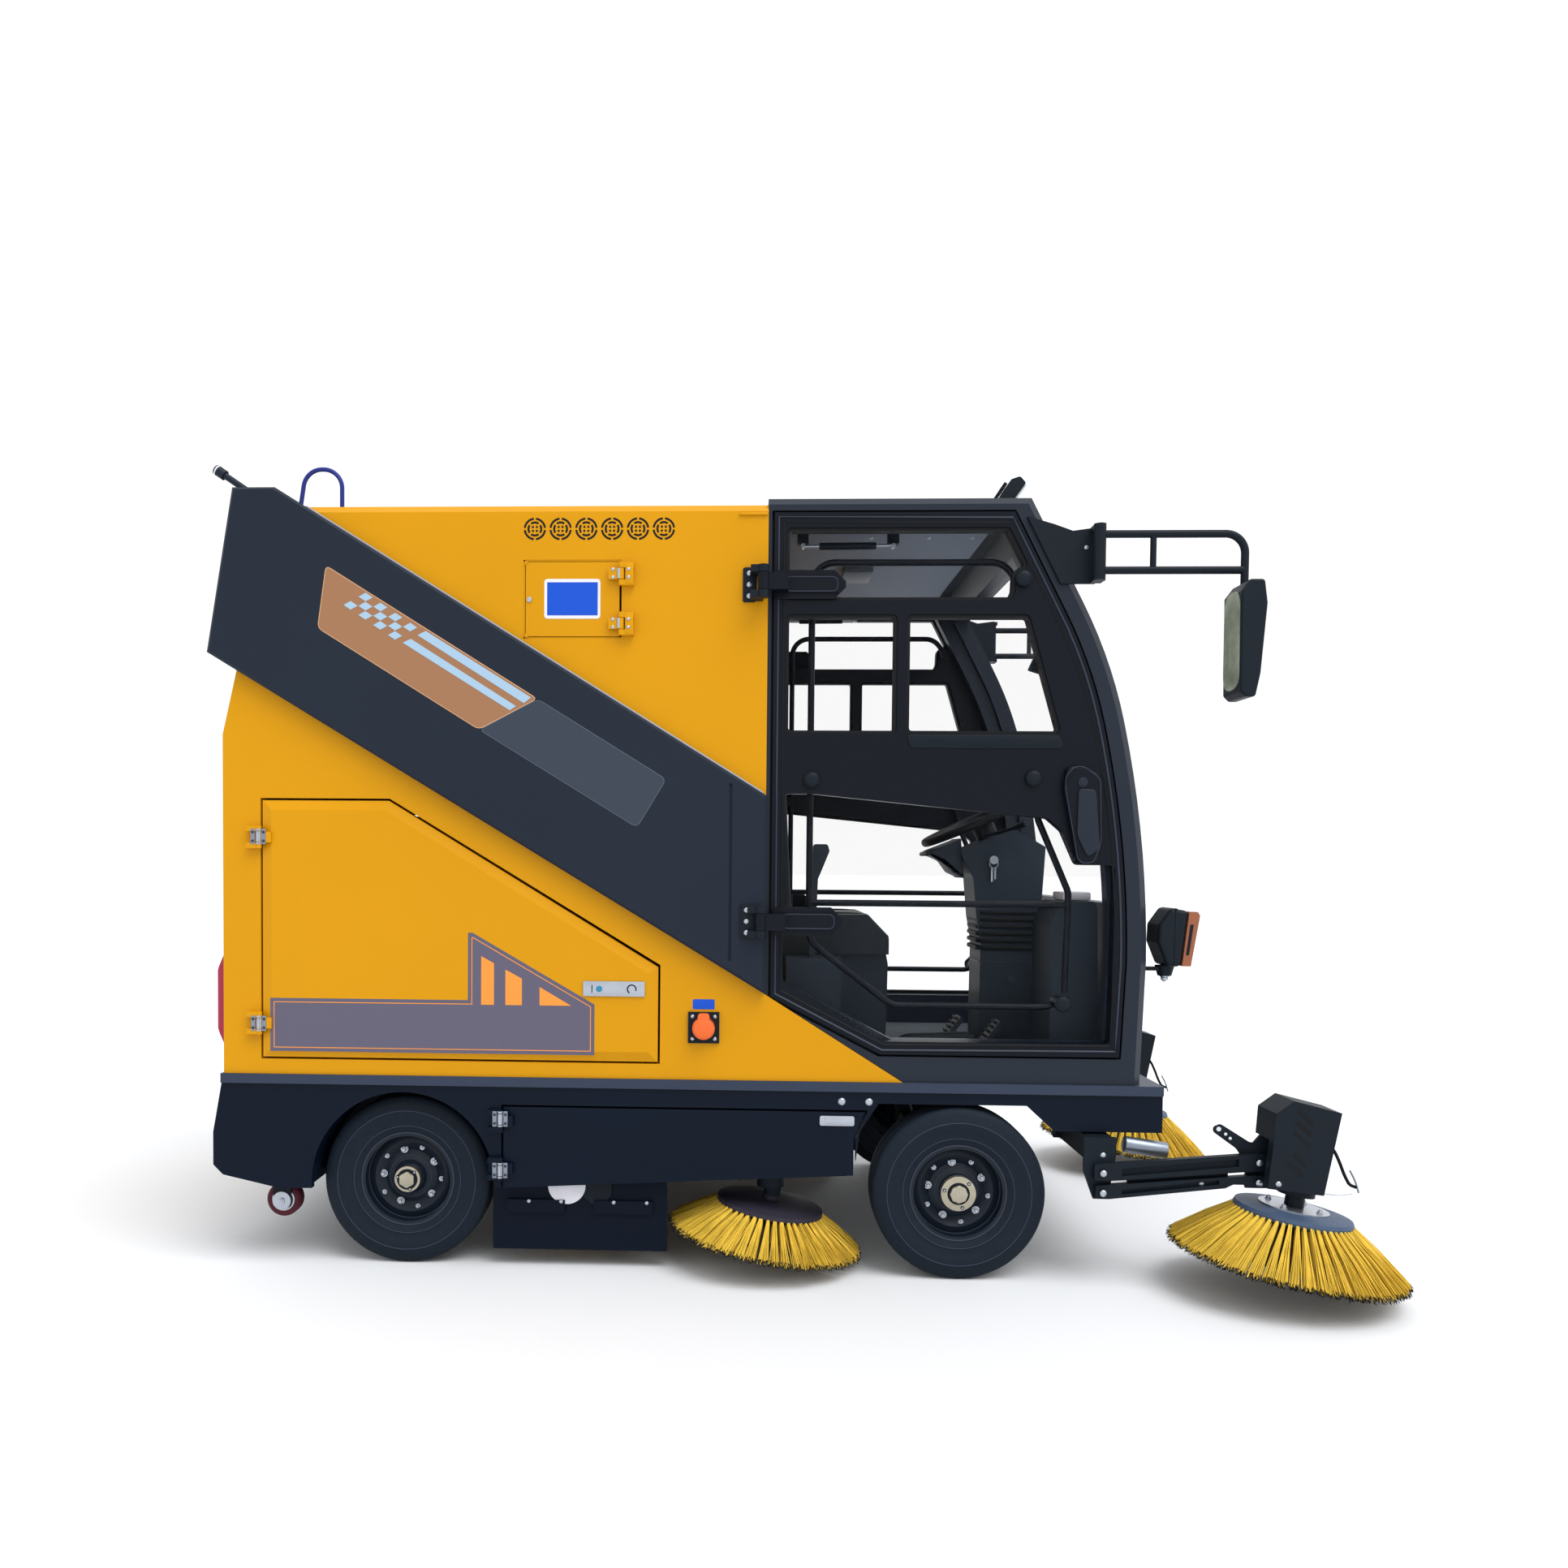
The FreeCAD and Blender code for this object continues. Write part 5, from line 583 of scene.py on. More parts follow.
# ---------------------------------------------------------------- body
def body_trim():
    y = -0.650
    rail = Batch("roof_gutter", "chassis", "yellow_paint")
    rail.box((-0.170, y - 0.006, 2.040), (-0.094, y + 0.002, 2.047), 0.0015)
    rail.done()
    for side, q in SIDES:
        # Pale strip along the cover's top edge: a painted highlight.
        strip = Batch("cover_highlight_strip_" + side, "chassis", "edge_highlight")
        slope = math.tan(math.radians(31.7))
        for x0, x1 in ((-1.330, -0.100),):
            z0, z1 = 1.296 + (-0.092 - x0) * slope, 1.296 + (-0.092 - x1) * slope
            strip.prism([(x0, z0 - 0.002), (x1, z1 - 0.002), (x1, z1 + 0.0045), (x0, z0 + 0.0045)],
                        0.650 * q, 0.676 * q, bevel=0.001)
        strip.done()
    stalk = Batch("camera_ring", "chassis", "sign_pale")
    lean = math.radians(-56)
    base = Vector((-1.500, -0.628, 2.112))
    tip = base + Vector((math.sin(lean), 0, math.cos(lean))) * 0.112
    way = (tip - base).normalized()
    stalk.rod(tip - way * 0.007, tip - way * 0.003, 0.0146, 20)
    stalk.done()
    tops = Batch("camera_tip", "chassis", "dark_parts")
    tops.rod(tip - way * 0.002, tip + way * 0.002, 0.012, 20)
    tops.done()


def bright_leaf(name, screws, body, x0, x1, heights, y0, y1, half=0.021):
    """Bright hinge leaves with two button screws each, at the given heights."""
    leaf, heads = Batch(name, body, "ram_steel"), Batch(screws, body, "bead_and_highlight")
    q = 1 if y1 > 0 else -1
    for z in heights:
        leaf.box((x0, min(y0, y1), z - half), (x1, max(y0, y1), z + half), 0.001)
        for v in (-0.012, 0.012):
            heads.dome(((x0 + x1) / 2, y1, z + v), (0, q, 0), 0.0042, 0.0024)
    leaf.done()
    heads.done()


def leaf_hinges(side, q):
    """Bright hinges on the side door and the skirt door; each leaf and sleeve rides its own part."""
    for label, x, heights in (("side", -1.4650, (0.670, 1.178)), ("skirt", -0.803, (0.278, 0.4185))):
        door = "%s_door_%s" % (label, side)
        for part, kind, x0, x1, y0, y1 in (("chassis", "fixed", x - 0.0205, x - 0.0090, 0.6678, 0.6700),
                                           (door, "moving", x + 0.0090, x + 0.0205, 0.6660, 0.6685)):
            name = "%s_leaf_%s_%s" % (label, kind, side)
            bright_leaf(name, name + "_screws", part, x0, x1, heights, y0 * q, y1 * q)
        middle = Batch("%s_sleeve_%s" % (label, side), door, "zinc_steel")
        ends = Batch("%s_sleeve_ends_%s" % (label, side), "chassis", "zinc_steel")
        for z in heights:
            for sleeve, low, high in ((middle, -0.0148, 0.0138), (ends, -0.0210, -0.0167), (ends, 0.0157, 0.0210)):
                sleeve.rod((x, 0.664 * q, z + low), (x, 0.664 * q, z + high), 0.0084, 20)
                sleeve.rod((x, 0.6705 * q, z + low), (x, 0.6705 * q, z + high), 0.0040, 12)
        middle.done()
        ends.done()


def side_door_trim(side, q):
    body = "side_door_" + side
    y = skin(-0.9, 0.8, q, body)
    latch = Batch("side_latch_" + side, body, "zinc_steel")
    latch.box((-0.580, min(y, y + 0.005 * q), 0.754), (-0.413, max(y, y + 0.005 * q), 0.795), 0.0015)
    latch.prism(soft(band(-0.569, -0.425, 0.761, 0.788), 0.005), y + 0.004 * q, y + 0.008 * q, bevel=0.001)
    latch.done()
    lines = Batch("side_latch_lines_" + side, body, "dark_parts")
    lines.ring((-0.448, y + 0.0082 * q, 0.7745), (0, 1, 0), 0.0115, 0.0018, 24, -60, 200)
    lines.box((-0.5565, min(y, y + 0.009 * q), 0.764), (-0.5545, max(y, y + 0.009 * q), 0.785))
    lines.done()
    lock = Batch("side_lock_" + side, body, "teal")
    lock.rod((-0.536, y, 0.7745), (-0.536, y + 0.010 * q, 0.7745), 0.0085, 24, bevel=0.001)
    lock.done()


def label(name, body, outline, y, finish, lift=0.0006):
    piece = Batch(name, body, finish)
    piece.prism(outline, y, y - lift)
    return piece.done()


def inset(points, gap):
    """The closed outline moved inward by the gap."""
    area = sum(a[0] * b[1] - b[0] * a[1] for a, b in zip(points, points[1:] + points[:1]))
    side = 1 if area > 0 else -1
    moved = []
    for i, p in enumerate(points):
        before, after = Vector(points[i - 1]), Vector(points[(i + 1) % len(points)])
        come, leave = (Vector(p) - before).normalized(), (after - Vector(p)).normalized()
        n0, n1 = Vector((-come.y, come.x)) * side, Vector((-leave.y, leave.x)) * side
        mid = (n0 + n1).normalized()
        moved.append(tuple(Vector(p) + mid * gap / max(0.3, mid.dot(n0))))
    return moved


def side_label():
    """Blank grey panel with a stepped end and three orange blocks, on the right side door."""
    body = "side_door_right"
    y = skin(-0.9, 0.8, -1, body)
    x0, x1, x2, x3 = -1.436, -0.903, -0.881, -0.549
    z0, z1, z2, z3 = 0.594, 0.739, 0.922, 0.731
    outline = [(x0, z0), (x3, z0), (x3, z3), (x2, z2), (x2 - 0.012, z2), (x2 - 0.012, z1), (x0, z1)]
    label("side_panel", body, outline, y, "grape_decal")
    for number, gap in enumerate((0.0095,)):
        outer, inner = inset(outline, gap), inset(outline, gap + 0.0022)
        line = Batch("side_panel_line", body, "orange_decal")
        for i in range(len(outer)):
            j = (i + 1) % len(outer)
            line.prism([outer[i], outer[j], inner[j], inner[i]], y - 0.0006, y - 0.0010)
        line.done()
    blocks = Batch("side_panel_blocks", body, "orange_decal")
    top = lambda x: z2 - 0.066 - (x - x2 - 0.022) * 0.54
    for left, right in ((-0.857, -0.822), (-0.791, -0.746)):
        blocks.prism([(left, z1 - 0.012), (right, z1 - 0.012), (right, top(right) + 0.004), (left, top(left) + 0.004)],
                     y - 0.0006, y - 0.0011)
    blocks.prism([(-0.698, z1 - 0.012), (-0.612, z1 - 0.012), (-0.698, top(-0.698) + 0.008)], y - 0.0006, y - 0.0011)
    blocks.done()


def cover_label():
    """Generic chequer and stripe on a tan field, and a blank grey plate, on the right of the cover."""
    y = -0.685
    field = soft([(-1.273, 1.903), (-0.702, 1.549), (-0.860, 1.466), (-1.296, 1.736)], 0.016)
    plate = soft([(-0.702, 1.549), (-0.357, 1.337), (-0.435, 1.207), (-0.860, 1.466)], 0.018)
    for name, outline, edge, finish in (("cover_field", field, "tan_edge", "tan_decal"),
                                        ("cover_plate", plate, "plate_edge", "plate_decal")):
        label(name + "_edge", "chassis", outline, y, edge, 0.0004)
        label(name, "chassis", inset(outline, 0.0018), y - 0.0003, finish, 0.0003)
    marks = Batch("cover_marks", "chassis", "sky_decal")
    along, across = Vector((0.0200, -0.0133)), Vector((-0.0203, -0.0110))
    start = Vector((-1.165, 1.818))
    for row, columns in enumerate(((0, 2, 4, 6), (1, 3, 5), (0, 2, 4, 6))):
        for column in columns:
            spot = start + along * column + across * row
            corners = [spot + (along * a + across * b) * 0.47 for a, b in ((1, 1), (-1, 1), (-1, -1), (1, -1))]
            marks.prism([tuple(c) for c in corners], y - 0.0006, y - 0.0010)
    for stripe in ([(-1.003, 1.728), (-0.720, 1.552), (-0.739, 1.537), (-1.025, 1.717)],
                   [(-1.043, 1.707), (-0.760, 1.529), (-0.777, 1.518), (-1.065, 1.697)]):
        marks.prism(stripe, y - 0.0006, y - 0.0010)
    marks.done()


def water_door_trim():
    body = "water_door"
    y = skin(-0.62, 1.82, -1, body)
    pale = Batch("water_sign_edge", body, "sign_pale")
    pale.prism(soft(band(-0.691, -0.540, 1.767, 1.873), 0.010), y, y - 0.0008)
    pale.done()
    label("water_sign", body, band(-0.683, -0.547, 1.776, 1.864), y - 0.0008, "sign_blue", 0.0005)
    lock = Batch("water_lock", body, "zinc_steel")
    lock.rod((-0.731, y + 0.001, 1.818), (-0.731, y - 0.004, 1.818), 0.007, 20, bevel=0.001)
    lock.done()
    leaf = Batch("water_hinge_leaves", "chassis", "yellow_paint")
    hinge = Batch("water_hinge_heads", "chassis", "zinc_steel")
    moving = Batch("water_hinge_leaf_heads", body, "zinc_steel")
    barrel = Batch("water_hinge_barrels", body, "zinc_steel")
    for z in (1.752, 1.884):
        barrel.rod((-0.4885, -0.6670, z - 0.0135), (-0.4885, -0.6670, z + 0.0135), 0.0055, 16)
        front = skin(-0.463, z + 0.024, -1, "body_shell", body)
        leaf.box((-0.4715, front - 0.0010, z - 0.028), (-0.450, front + 0.0005, z + 0.028), 0.0004)
        for v in (-0.0105, 0.0105):
            hinge.dome((-0.463, front - 0.0010, z + v), (0, -1, 0), 0.0052, 0.003)
            moving.dome((-0.505, skin(-0.505, z + v, -1, "body_shell", body), z + v), (0, -1, 0), 0.0052, 0.003)
    leaf.done()
    hinge.done()
    moving.done()
    barrel.done()
    rim = Batch("water_rim", "chassis", "yellow_paint")
    left, right, low, high = -0.747, -0.480, 1.714, 1.924
    wide, round_by = 0.004, 0.011
    rim.prism(band(left, left + wide, low, high), -0.630, -0.6485)
    for z, way in ((low, 1), (high, -1)):
        rim.prism([(left, z), (right, z), (right, z + wide * way), (left, z + wide * way)], -0.630, -0.6485)
        rim.prism([(left + wide, z + wide * way), (left + wide + round_by, z + wide * way),
                   (left + wide, z + (wide + round_by) * way)], -0.652, -0.6485)
    rim.done()
    # Near-black sheet behind the vents and dark fills in their slots: painted shade for the vents' shaded insides.
    shade_sheet = Batch("vent_shade_sheet", "chassis", "seal")
    shade_sheet.box((-0.770, -0.6485, 1.965), (-0.280, -0.6470, 2.050))
    shade_sheet.done()
    slots = Batch("vent_slot_shade", "chassis", "seal")
    y = skin(-0.75, 2.006, -1, "body_shell")
    for vent in range(6):
        x = -0.717 + 0.0692 * vent
        for ring in range(3):
            inner, outer = 0.0045 + 0.010 * ring, 0.0100 + 0.010 * ring
            margin = math.degrees(0.0028 / (inner + 0.0025))
            for quarter in range(4):
                first = 90 * quarter + 45 * (ring % 2) + margin
                turns = [math.radians(first + (90 - 2 * margin) * k / 6) for k in range(7)]
                slots.prism([(x + outer * math.cos(a), 2.006 + outer * math.sin(a)) for a in turns] +
                            [(x + inner * math.cos(a), 2.006 + inner * math.sin(a)) for a in turns[::-1]],
                            y - 0.0004, y + 0.0010)
    slots.done()


def socket_trim():
    x, z = -0.254, 0.672
    y = skin(x + 0.036, z + 0.036, -1, "service_ports")
    screws = Batch("socket_screws", "chassis", "zinc_steel")
    for u in (-1, 1):
        for v in (-1, 1):
            screws.dome((x + u * 0.030, y, z + v * 0.030), (0, -1, 0), 0.0055, 0.003)
    screws.done()
    front = skin(x, z, -1, "service_ports")
    cap = Batch("socket_cap", "chassis", "orange_cap")
    cap.rod((x, y, z), (x, front - 0.002, z), 0.0315, 36, tip=0.030, bevel=0.002)
    cap.prism(soft(band(x - 0.016, x + 0.016, z + 0.018, z + 0.040), 0.010), y, front - 0.001, bevel=0.002)
    cap.rod((x, front - 0.002, z), (x, front - 0.006, z), 0.026, 32, bevel=0.0015)
    cap.done()
    label("socket_sign", "chassis", soft(band(x - 0.030, x + 0.029, 0.721, 0.748), 0.004), -0.650, "sign_blue")


def skirt_trim(side, q):
    y = 0.650 * q
    door = "skirt_door_" + side
    latch = Batch("skirt_latch_" + side, door, "zinc_steel")
    latch.prism(soft(band(0.060, 0.153, 0.411, 0.438), 0.006), y, y + 0.005 * q, bevel=0.001)
    latch.prism(soft(band(0.072, 0.142, 0.416, 0.433), 0.008), y + 0.004 * q, y + 0.008 * q, bevel=0.001)
    latch.done()
    heads = Batch("skirt_heads_" + side, "chassis", "zinc_steel")
    for x in (0.119, 0.192):
        heads.dome((x, y, 0.4765), (0, q, 0), 0.011, 0.006)
    heads.done()


def skirt_gap_shade(side, q):
    """Dark strip behind the gap above the skirt door: painted shade for the gap's shaded inside."""
    strip = Batch("skirt_baffle_" + side, "chassis", "seal")
    strip.box((-0.795, min(0.618 * q, 0.624 * q), 0.430), (0.170, max(0.618 * q, 0.624 * q), 0.470))
    strip.done()


def curtain_trim(side, q):
    heads = Batch("curtain_heads_" + side, "chassis", "zinc_steel")
    for x in (-0.732, -0.643, -0.498, -0.407):
        y = skin(x, 0.182, q, "brush_curtains")
        heads.dome((x, y, 0.182), (0, q, 0), 0.006, 0.004)
    heads.done()
    disc = Batch("curtain_disc_" + side, "chassis", "sign_pale")
    y = skin(-0.60, 0.1, q, "brush_curtains")
    disc.rod((-0.628, y, 0.226), (-0.628, y + 0.008 * q, 0.226), 0.052, 48, bevel=0.002)
    disc.rod((-0.628, y + 0.008 * q, 0.226), (-0.628, y + 0.012 * q, 0.226), 0.024, 36, bevel=0.001)
    disc.done()
    pulley = Batch("curtain_pulley_" + side, "chassis", "dark_parts")
    pulley.rod((-0.545, y, 0.216), (-0.545, y + 0.006 * q, 0.216), 0.042, 40, bevel=0.002)
    pulley.done()


def roller_trim(side, q):
    low, high = node_box("roller_" + side)
    centre = (low + high) / 2
    y = high.y if q > 0 else low.y
    hub = Batch("roller_hub_" + side, "roller_" + side, "zinc_steel")
    hub.ring((centre.x, y, centre.z), (0, 1, 0), 0.028, 0.004, 40, flat=0.4)
    hub.lathe(Vector((centre.x, y - 0.002 * q, centre.z)), (0, q, 0),
              [(0.0088, 0.0), (0.030, 0.0), (0.030, 0.0028), (0.020, 0.0032), (0.018, 0.0014), (0.0088, 0.0014)], 40)
    hub.done()
    fork = Batch("roller_bolt_" + side, "chassis", "zinc_steel")
    fork.rod((centre.x, 0.573 * q, centre.z), (centre.x, 0.5755 * q, centre.z), 0.026, 36, bevel=0.0008)
    fork.nut((centre.x, (0.540 + 0.033) * q, centre.z), (0, q, 0), 0.010, 0.008)
    fork.done()


# ---------------------------------------------------------------- cab
def cab_trim(side, q):
    door = "cab_door_" + side
    face = 0.650 * q
    bosses = Batch("boss_caps_" + side, door, "dark_parts")
    for x, z in ((0.581, 1.872), (0.029, 1.339), (0.615, 1.346), (0.701, 0.747)):
        y = skin(x, z, q, door)
        bosses.dome((x, y - 0.001 * q, z), (0, q, 0), 0.021, 0.008)
    bosses.done()
    bolts = Batch("hinge_bolts_" + side, "chassis", "zinc_steel")
    for z, y in ((0.961, 0.691), (1.856, 0.656)):
        for v in (-0.030, 0.0, 0.030):
            bolts.dome((-0.142, y * q, z + v), (0, q, 0), 0.0078, 0.005)
    bolts.done()
    leaf = Batch("hinge_plates_" + side, "chassis", "dark_parts")
    for z, y in ((0.961, 0.685), (1.856, 0.650)):
        leaf.prism(soft(band(-0.158, -0.124, z - 0.046, z + 0.046), 0.006), y * q, (y + 0.0065) * q, bevel=0.001)
    leaf.done()
    lock = Batch("handle_lock_" + side, door, "frame_paint")
    y = skin(0.738, 1.335, q, door)
    lock.rod((0.738, y, 1.335), (0.738, y + 0.003 * q, 1.335), 0.0125, 28, bevel=0.001)
    lock.rod((0.738, y + 0.003 * q, 1.335), (0.738, y + 0.0045 * q, 1.335), 0.0065, 20)
    lock.done()
    grip = Batch("handle_paddle_" + side, door, "frame_paint")
    grip.prism(soft([(0.726, 1.318), (0.772, 1.316), (0.784, 1.160), (0.752, 1.138), (0.724, 1.196)], 0.012),
               y, y + 0.006 * q, bevel=0.0025)
    grip.done()
    # Pale lines round the handle pod and the hinge pads: painted highlights.
    edge = Batch("door_highlight_lines_" + side, door, "bead_and_highlight")
    pod = soft([(0.694, 1.352), (0.716, 1.376), (0.742, 1.376), (0.784, 1.344), (0.788, 1.178), (0.770, 1.124),
                (0.742, 1.122), (0.728, 1.134), (0.694, 1.318)], 0.014)
    edge.tube([(x, y - 0.0005 * q, z) for x, z in pod + [pod[0]]], 0.0015, 0, 6)
    for z in (0.961, 1.856):
        loop = soft(band(-0.046, 0.092, z - 0.019, z + 0.019), 0.016)
        edge.tube([(x, 0.6638 * q, v) for x, v in loop + [loop[0]]], 0.0015, 0, 6)
    edge.done()


def pane_seals(side, q):
    """Dark rubber frames round the panes, drawn from the glass itself."""
    node = "door_glass_" + side
    mesh = NODES[node].data
    door = "cab_door_" + side
    outer = 0.650 * q
    bm = bmesh.new()
    bm.from_mesh(mesh)
    bmesh.ops.remove_doubles(bm, verts=bm.verts, dist=1e-5)
    seal = Batch("pane_seals_" + side, door, "seal")
    flat = max(v.co.y * q for v in bm.verts)
    left = {v for v in bm.verts if abs(v.co.y * q - flat) < 1e-4}
    rims = []
    while left:
        start = left.pop()
        group, queue = {start}, [start]
        while queue:
            for e in queue.pop().link_edges:
                for v in e.verts:
                    if v in left:
                        left.discard(v)
                        group.add(v)
                        queue.append(v)
        rims.append(group)
    for group in rims:
        middle = sum((v.co for v in group), Vector()) / len(group)
        edge = [e for v in group for e in v.link_edges if all(w in group for w in e.verts)
                and sum(1 for f in e.link_faces if abs(f.normal.y) < 0.5) == 1]
        nexts = {}
        for e in set(edge):
            a, b = e.verts
            nexts.setdefault(a, []).append(b)
            nexts.setdefault(b, []).append(a)
        path, seen = [edge[0].verts[0]], set()
        while True:
            seen.add(path[-1])
            step = [v for v in nexts[path[-1]] if v not in seen]
            if not step:
                break
            path.append(step[0])
        outline = [(v.co.x - DATUM.x, v.co.z) for v in path]
        inner = inset(outline, 0.009)
        for i in range(len(outline)):
            j = (i + 1) % len(outline)
            seal.prism([outline[i], outline[j], inner[j], inner[i]], outer - 0.004 * q, outer - 0.034 * q)
    bm.free()
    return seal.done()


def door_beads(side, q):
    """Raised rubber bead just inside the door's outer edge; its pale grey is a painted edge highlight."""
    door = "cab_door_" + side
    outline = silhouette(door)
    bead_and_highlight = Batch("door_bead_" + side, door, "bead_and_highlight")
    ring = inset(outline, 0.012)
    y = 0.6505 * q
    bead_and_highlight.tube([(x, y, z) for x, z in ring + [ring[0]]], 0.0026, 0, 6)
    bead_and_highlight.done()
    gap = Batch("door_gap_" + side, door, "seal")
    ring = inset(outline, 0.026)
    gap.tube([(x, 0.6490 * q, z) for x, z in ring + [ring[0]]], 0.0030, 0, 6)
    gap.done()


def silhouette(node):
    """The door's outline in X and Z: the frame's front curve with straight rear, top and foot."""
    low, high = Vector((-0.076, 0, 0.605)), Vector((0, 0, 2.048))
    heights = [0.605 + (2.048 - 0.605) * k / 24 for k in range(25)]
    tree_node = node
    front = []
    for z in heights:
        z = min(max(z, low.z + 0.004), high.z - 0.004)
        x = edge_x(tree_node, z)
        if x is not None:
            front.append((x, z))
    return [(low.x, 0.758), (0.221, low.z)] + front + [(low.x, high.z)]


def edge_x(node, z):
    """Front edge of a node's panel at height z, met from ahead just inside its outer face."""
    if node not in TREES:
        skin(0, 0, 1, node)
    mesh_y = 0.630 if node.endswith("left") else -0.630
    spot = TREES[node].ray_cast(Vector((1.2, mesh_y, z)), Vector((-1, 0, 0)))[0]
    return None if spot is None else spot.x - DATUM.x


def glide_rail(side, q):
    rail = Batch("glide_rail_" + side, "cab_door_" + side, "dark_parts")
    y = 0.650 * q
    rail.prism(soft([(0.279, 1.461), (0.683, 1.461), (0.694, 1.425), (0.290, 1.425)], 0.014), y, y + 0.003 * q, bevel=0.001)
    rail.done()


def struts():
    for side, q in SIDES:
        case = Batch("strut_case_" + side, "chassis", "dark_parts")
        rod = Batch("strut_rod_" + side, "chassis", "zinc_steel")
        y = 0.540 * q
        case.rod((0.050, y, 1.985), (0.205, y, 1.986), 0.010, 20, bevel=0.002)
        rod.rod((0.005, y, 1.984), (0.050, y, 1.985), 0.005, 12)
        rod.rod((0.205, y, 1.986), (0.251, y, 1.987), 0.005, 12)
        for x in (0.005, 0.251):
            rod.rod((x, y - 0.012 * q, 1.985), (x, y + 0.012 * q, 1.985), 0.006, 12)
        case.box((-0.010, min(y * 1.02, y * 0.97), 1.990), (0.020, max(y * 1.02, y * 0.97), 2.049))
        case.box((0.236, min(y * 1.02, y * 0.97), 1.990), (0.266, max(y * 1.02, y * 0.97), 2.049))
        case.done()
        rod.done()


def cab_inside():
    # The headliner's pale grey is partly painted light.
    roof = Batch("headliner", "chassis", "headliner")
    roof.box((-0.040, -0.545, 2.030), (0.520, 0.545, 2.0495), 0.004)
    roof.done()
    lamp = Batch("dome_lamp", "chassis", "plate_edge")
    lamp.box((0.150, -0.16, 2.000), (0.240, 0.00, 2.022), 0.006)
    lamp.done()
    heads = Batch("headliner_heads", "chassis", "zinc_steel")
    for x in (0.02, 0.20, 0.36, 0.48):
        heads.dome((x, -0.45, 2.030), (0, 0, -1), 0.007, 0.004)
    heads.done()
    mat = Batch("floor_mat", "chassis", "mat")
    mat.box((-0.060, -0.550, 0.5305), (0.700, 0.550, 0.540), 0.003)
    mat.done()


def seat_trim():
    """Foam seat: a rounded pad over the plain cushion, with piping."""
    low, high = node_box("driver_seat")
    cushion = Batch("seat_cushion_pad", "chassis", "seat_vinyl")
    front = [(-0.076, 0.846), (0.286, 0.846), (0.289, 0.893), (0.232, 0.960), (0.10, 0.955), (-0.076, 0.962)]
    cushion.prism(soft(front, 0.020), -0.223, 0.223, bevel=0.012)
    pad = cushion.done()
    piping = Batch("seat_piping", "chassis", "seal")
    for q in (-1, 1):
        piping.tube([(-0.07, 0.150 * q, 0.965), (0.20, 0.150 * q, 0.962), (0.236, 0.150 * q, 0.956),
                     (0.292, 0.150 * q, 0.892)], 0.0035, 0.02, 8)
    piping.done()


def column_trim():
    gaiter = Batch("column_gaiter", "chassis", "seal")
    for k in range(6):
        z = 0.850 + 0.022 * k
        gaiter.prism(soft([(0.578, -0.094), (0.776, -0.094), (0.776, 0.094), (0.578, 0.094)], 0.030), z, z + 0.013,
                     axis="Z", bevel=0.004)
    gaiter.done()
    seam = Batch("column_seam", "chassis", "bead_and_highlight")
    seam.box((0.586, -0.0895, 0.812), (0.766, 0.0895, 0.815))
    seam.rod((0.690, -0.088, 0.760), (0.690, -0.092, 0.760), 0.010, 20)
    seam.done()
    shroud = Batch("column_shroud", "chassis", "cabin_plastic")
    shroud.prism(soft([(0.424, 1.151), (0.442, 1.161), (0.530, 1.196), (0.540, 1.074), (0.506, 1.090), (0.480, 1.126),
                       (0.444, 1.142), (0.424, 1.143)], 0.006), -0.078, 0.078, bevel=0.005)
    shroud.done()
    stalk = Batch("indicator_stalk", "chassis", "dark_parts")
    stalk.tube([(0.600, -0.075, 1.205), (0.640, -0.110, 1.214), (0.690, -0.190, 1.236)], 0.006, 0.02)
    stalk.rod((0.675, -0.165, 1.229), (0.700, -0.205, 1.240), 0.010, 16, bevel=0.002)
    stalk.done()
    keys = Batch("ignition_keys", "chassis", "zinc_steel")
    keys.ring((0.628, -0.096, 1.118), (0, 1, 0.2), 0.013, 0.0014, 24)
    keys.box((0.619, -0.099, 1.062), (0.626, -0.097, 1.106), 0.001)
    keys.box((0.629, -0.102, 1.070), (0.634, -0.100, 1.108), 0.001)
    keys.rod((0.628, -0.088, 1.130), (0.628, -0.099, 1.130), 0.013, 20)
    keys.done()
    hub = Batch("wheel_pad", "steering_wheel", "wheel_grip")
    lean = math.radians(-24)
    spot = Vector((0.602, 0, 1.258))
    axis = Vector((math.sin(lean), 0, math.cos(lean)))
    hub.lathe(spot - axis * 0.004, axis, [(0.0, 0.010), (0.050, 0.006), (0.058, -0.004), (0.052, -0.016), (0.0, -0.016)], 40)
    hub.done()


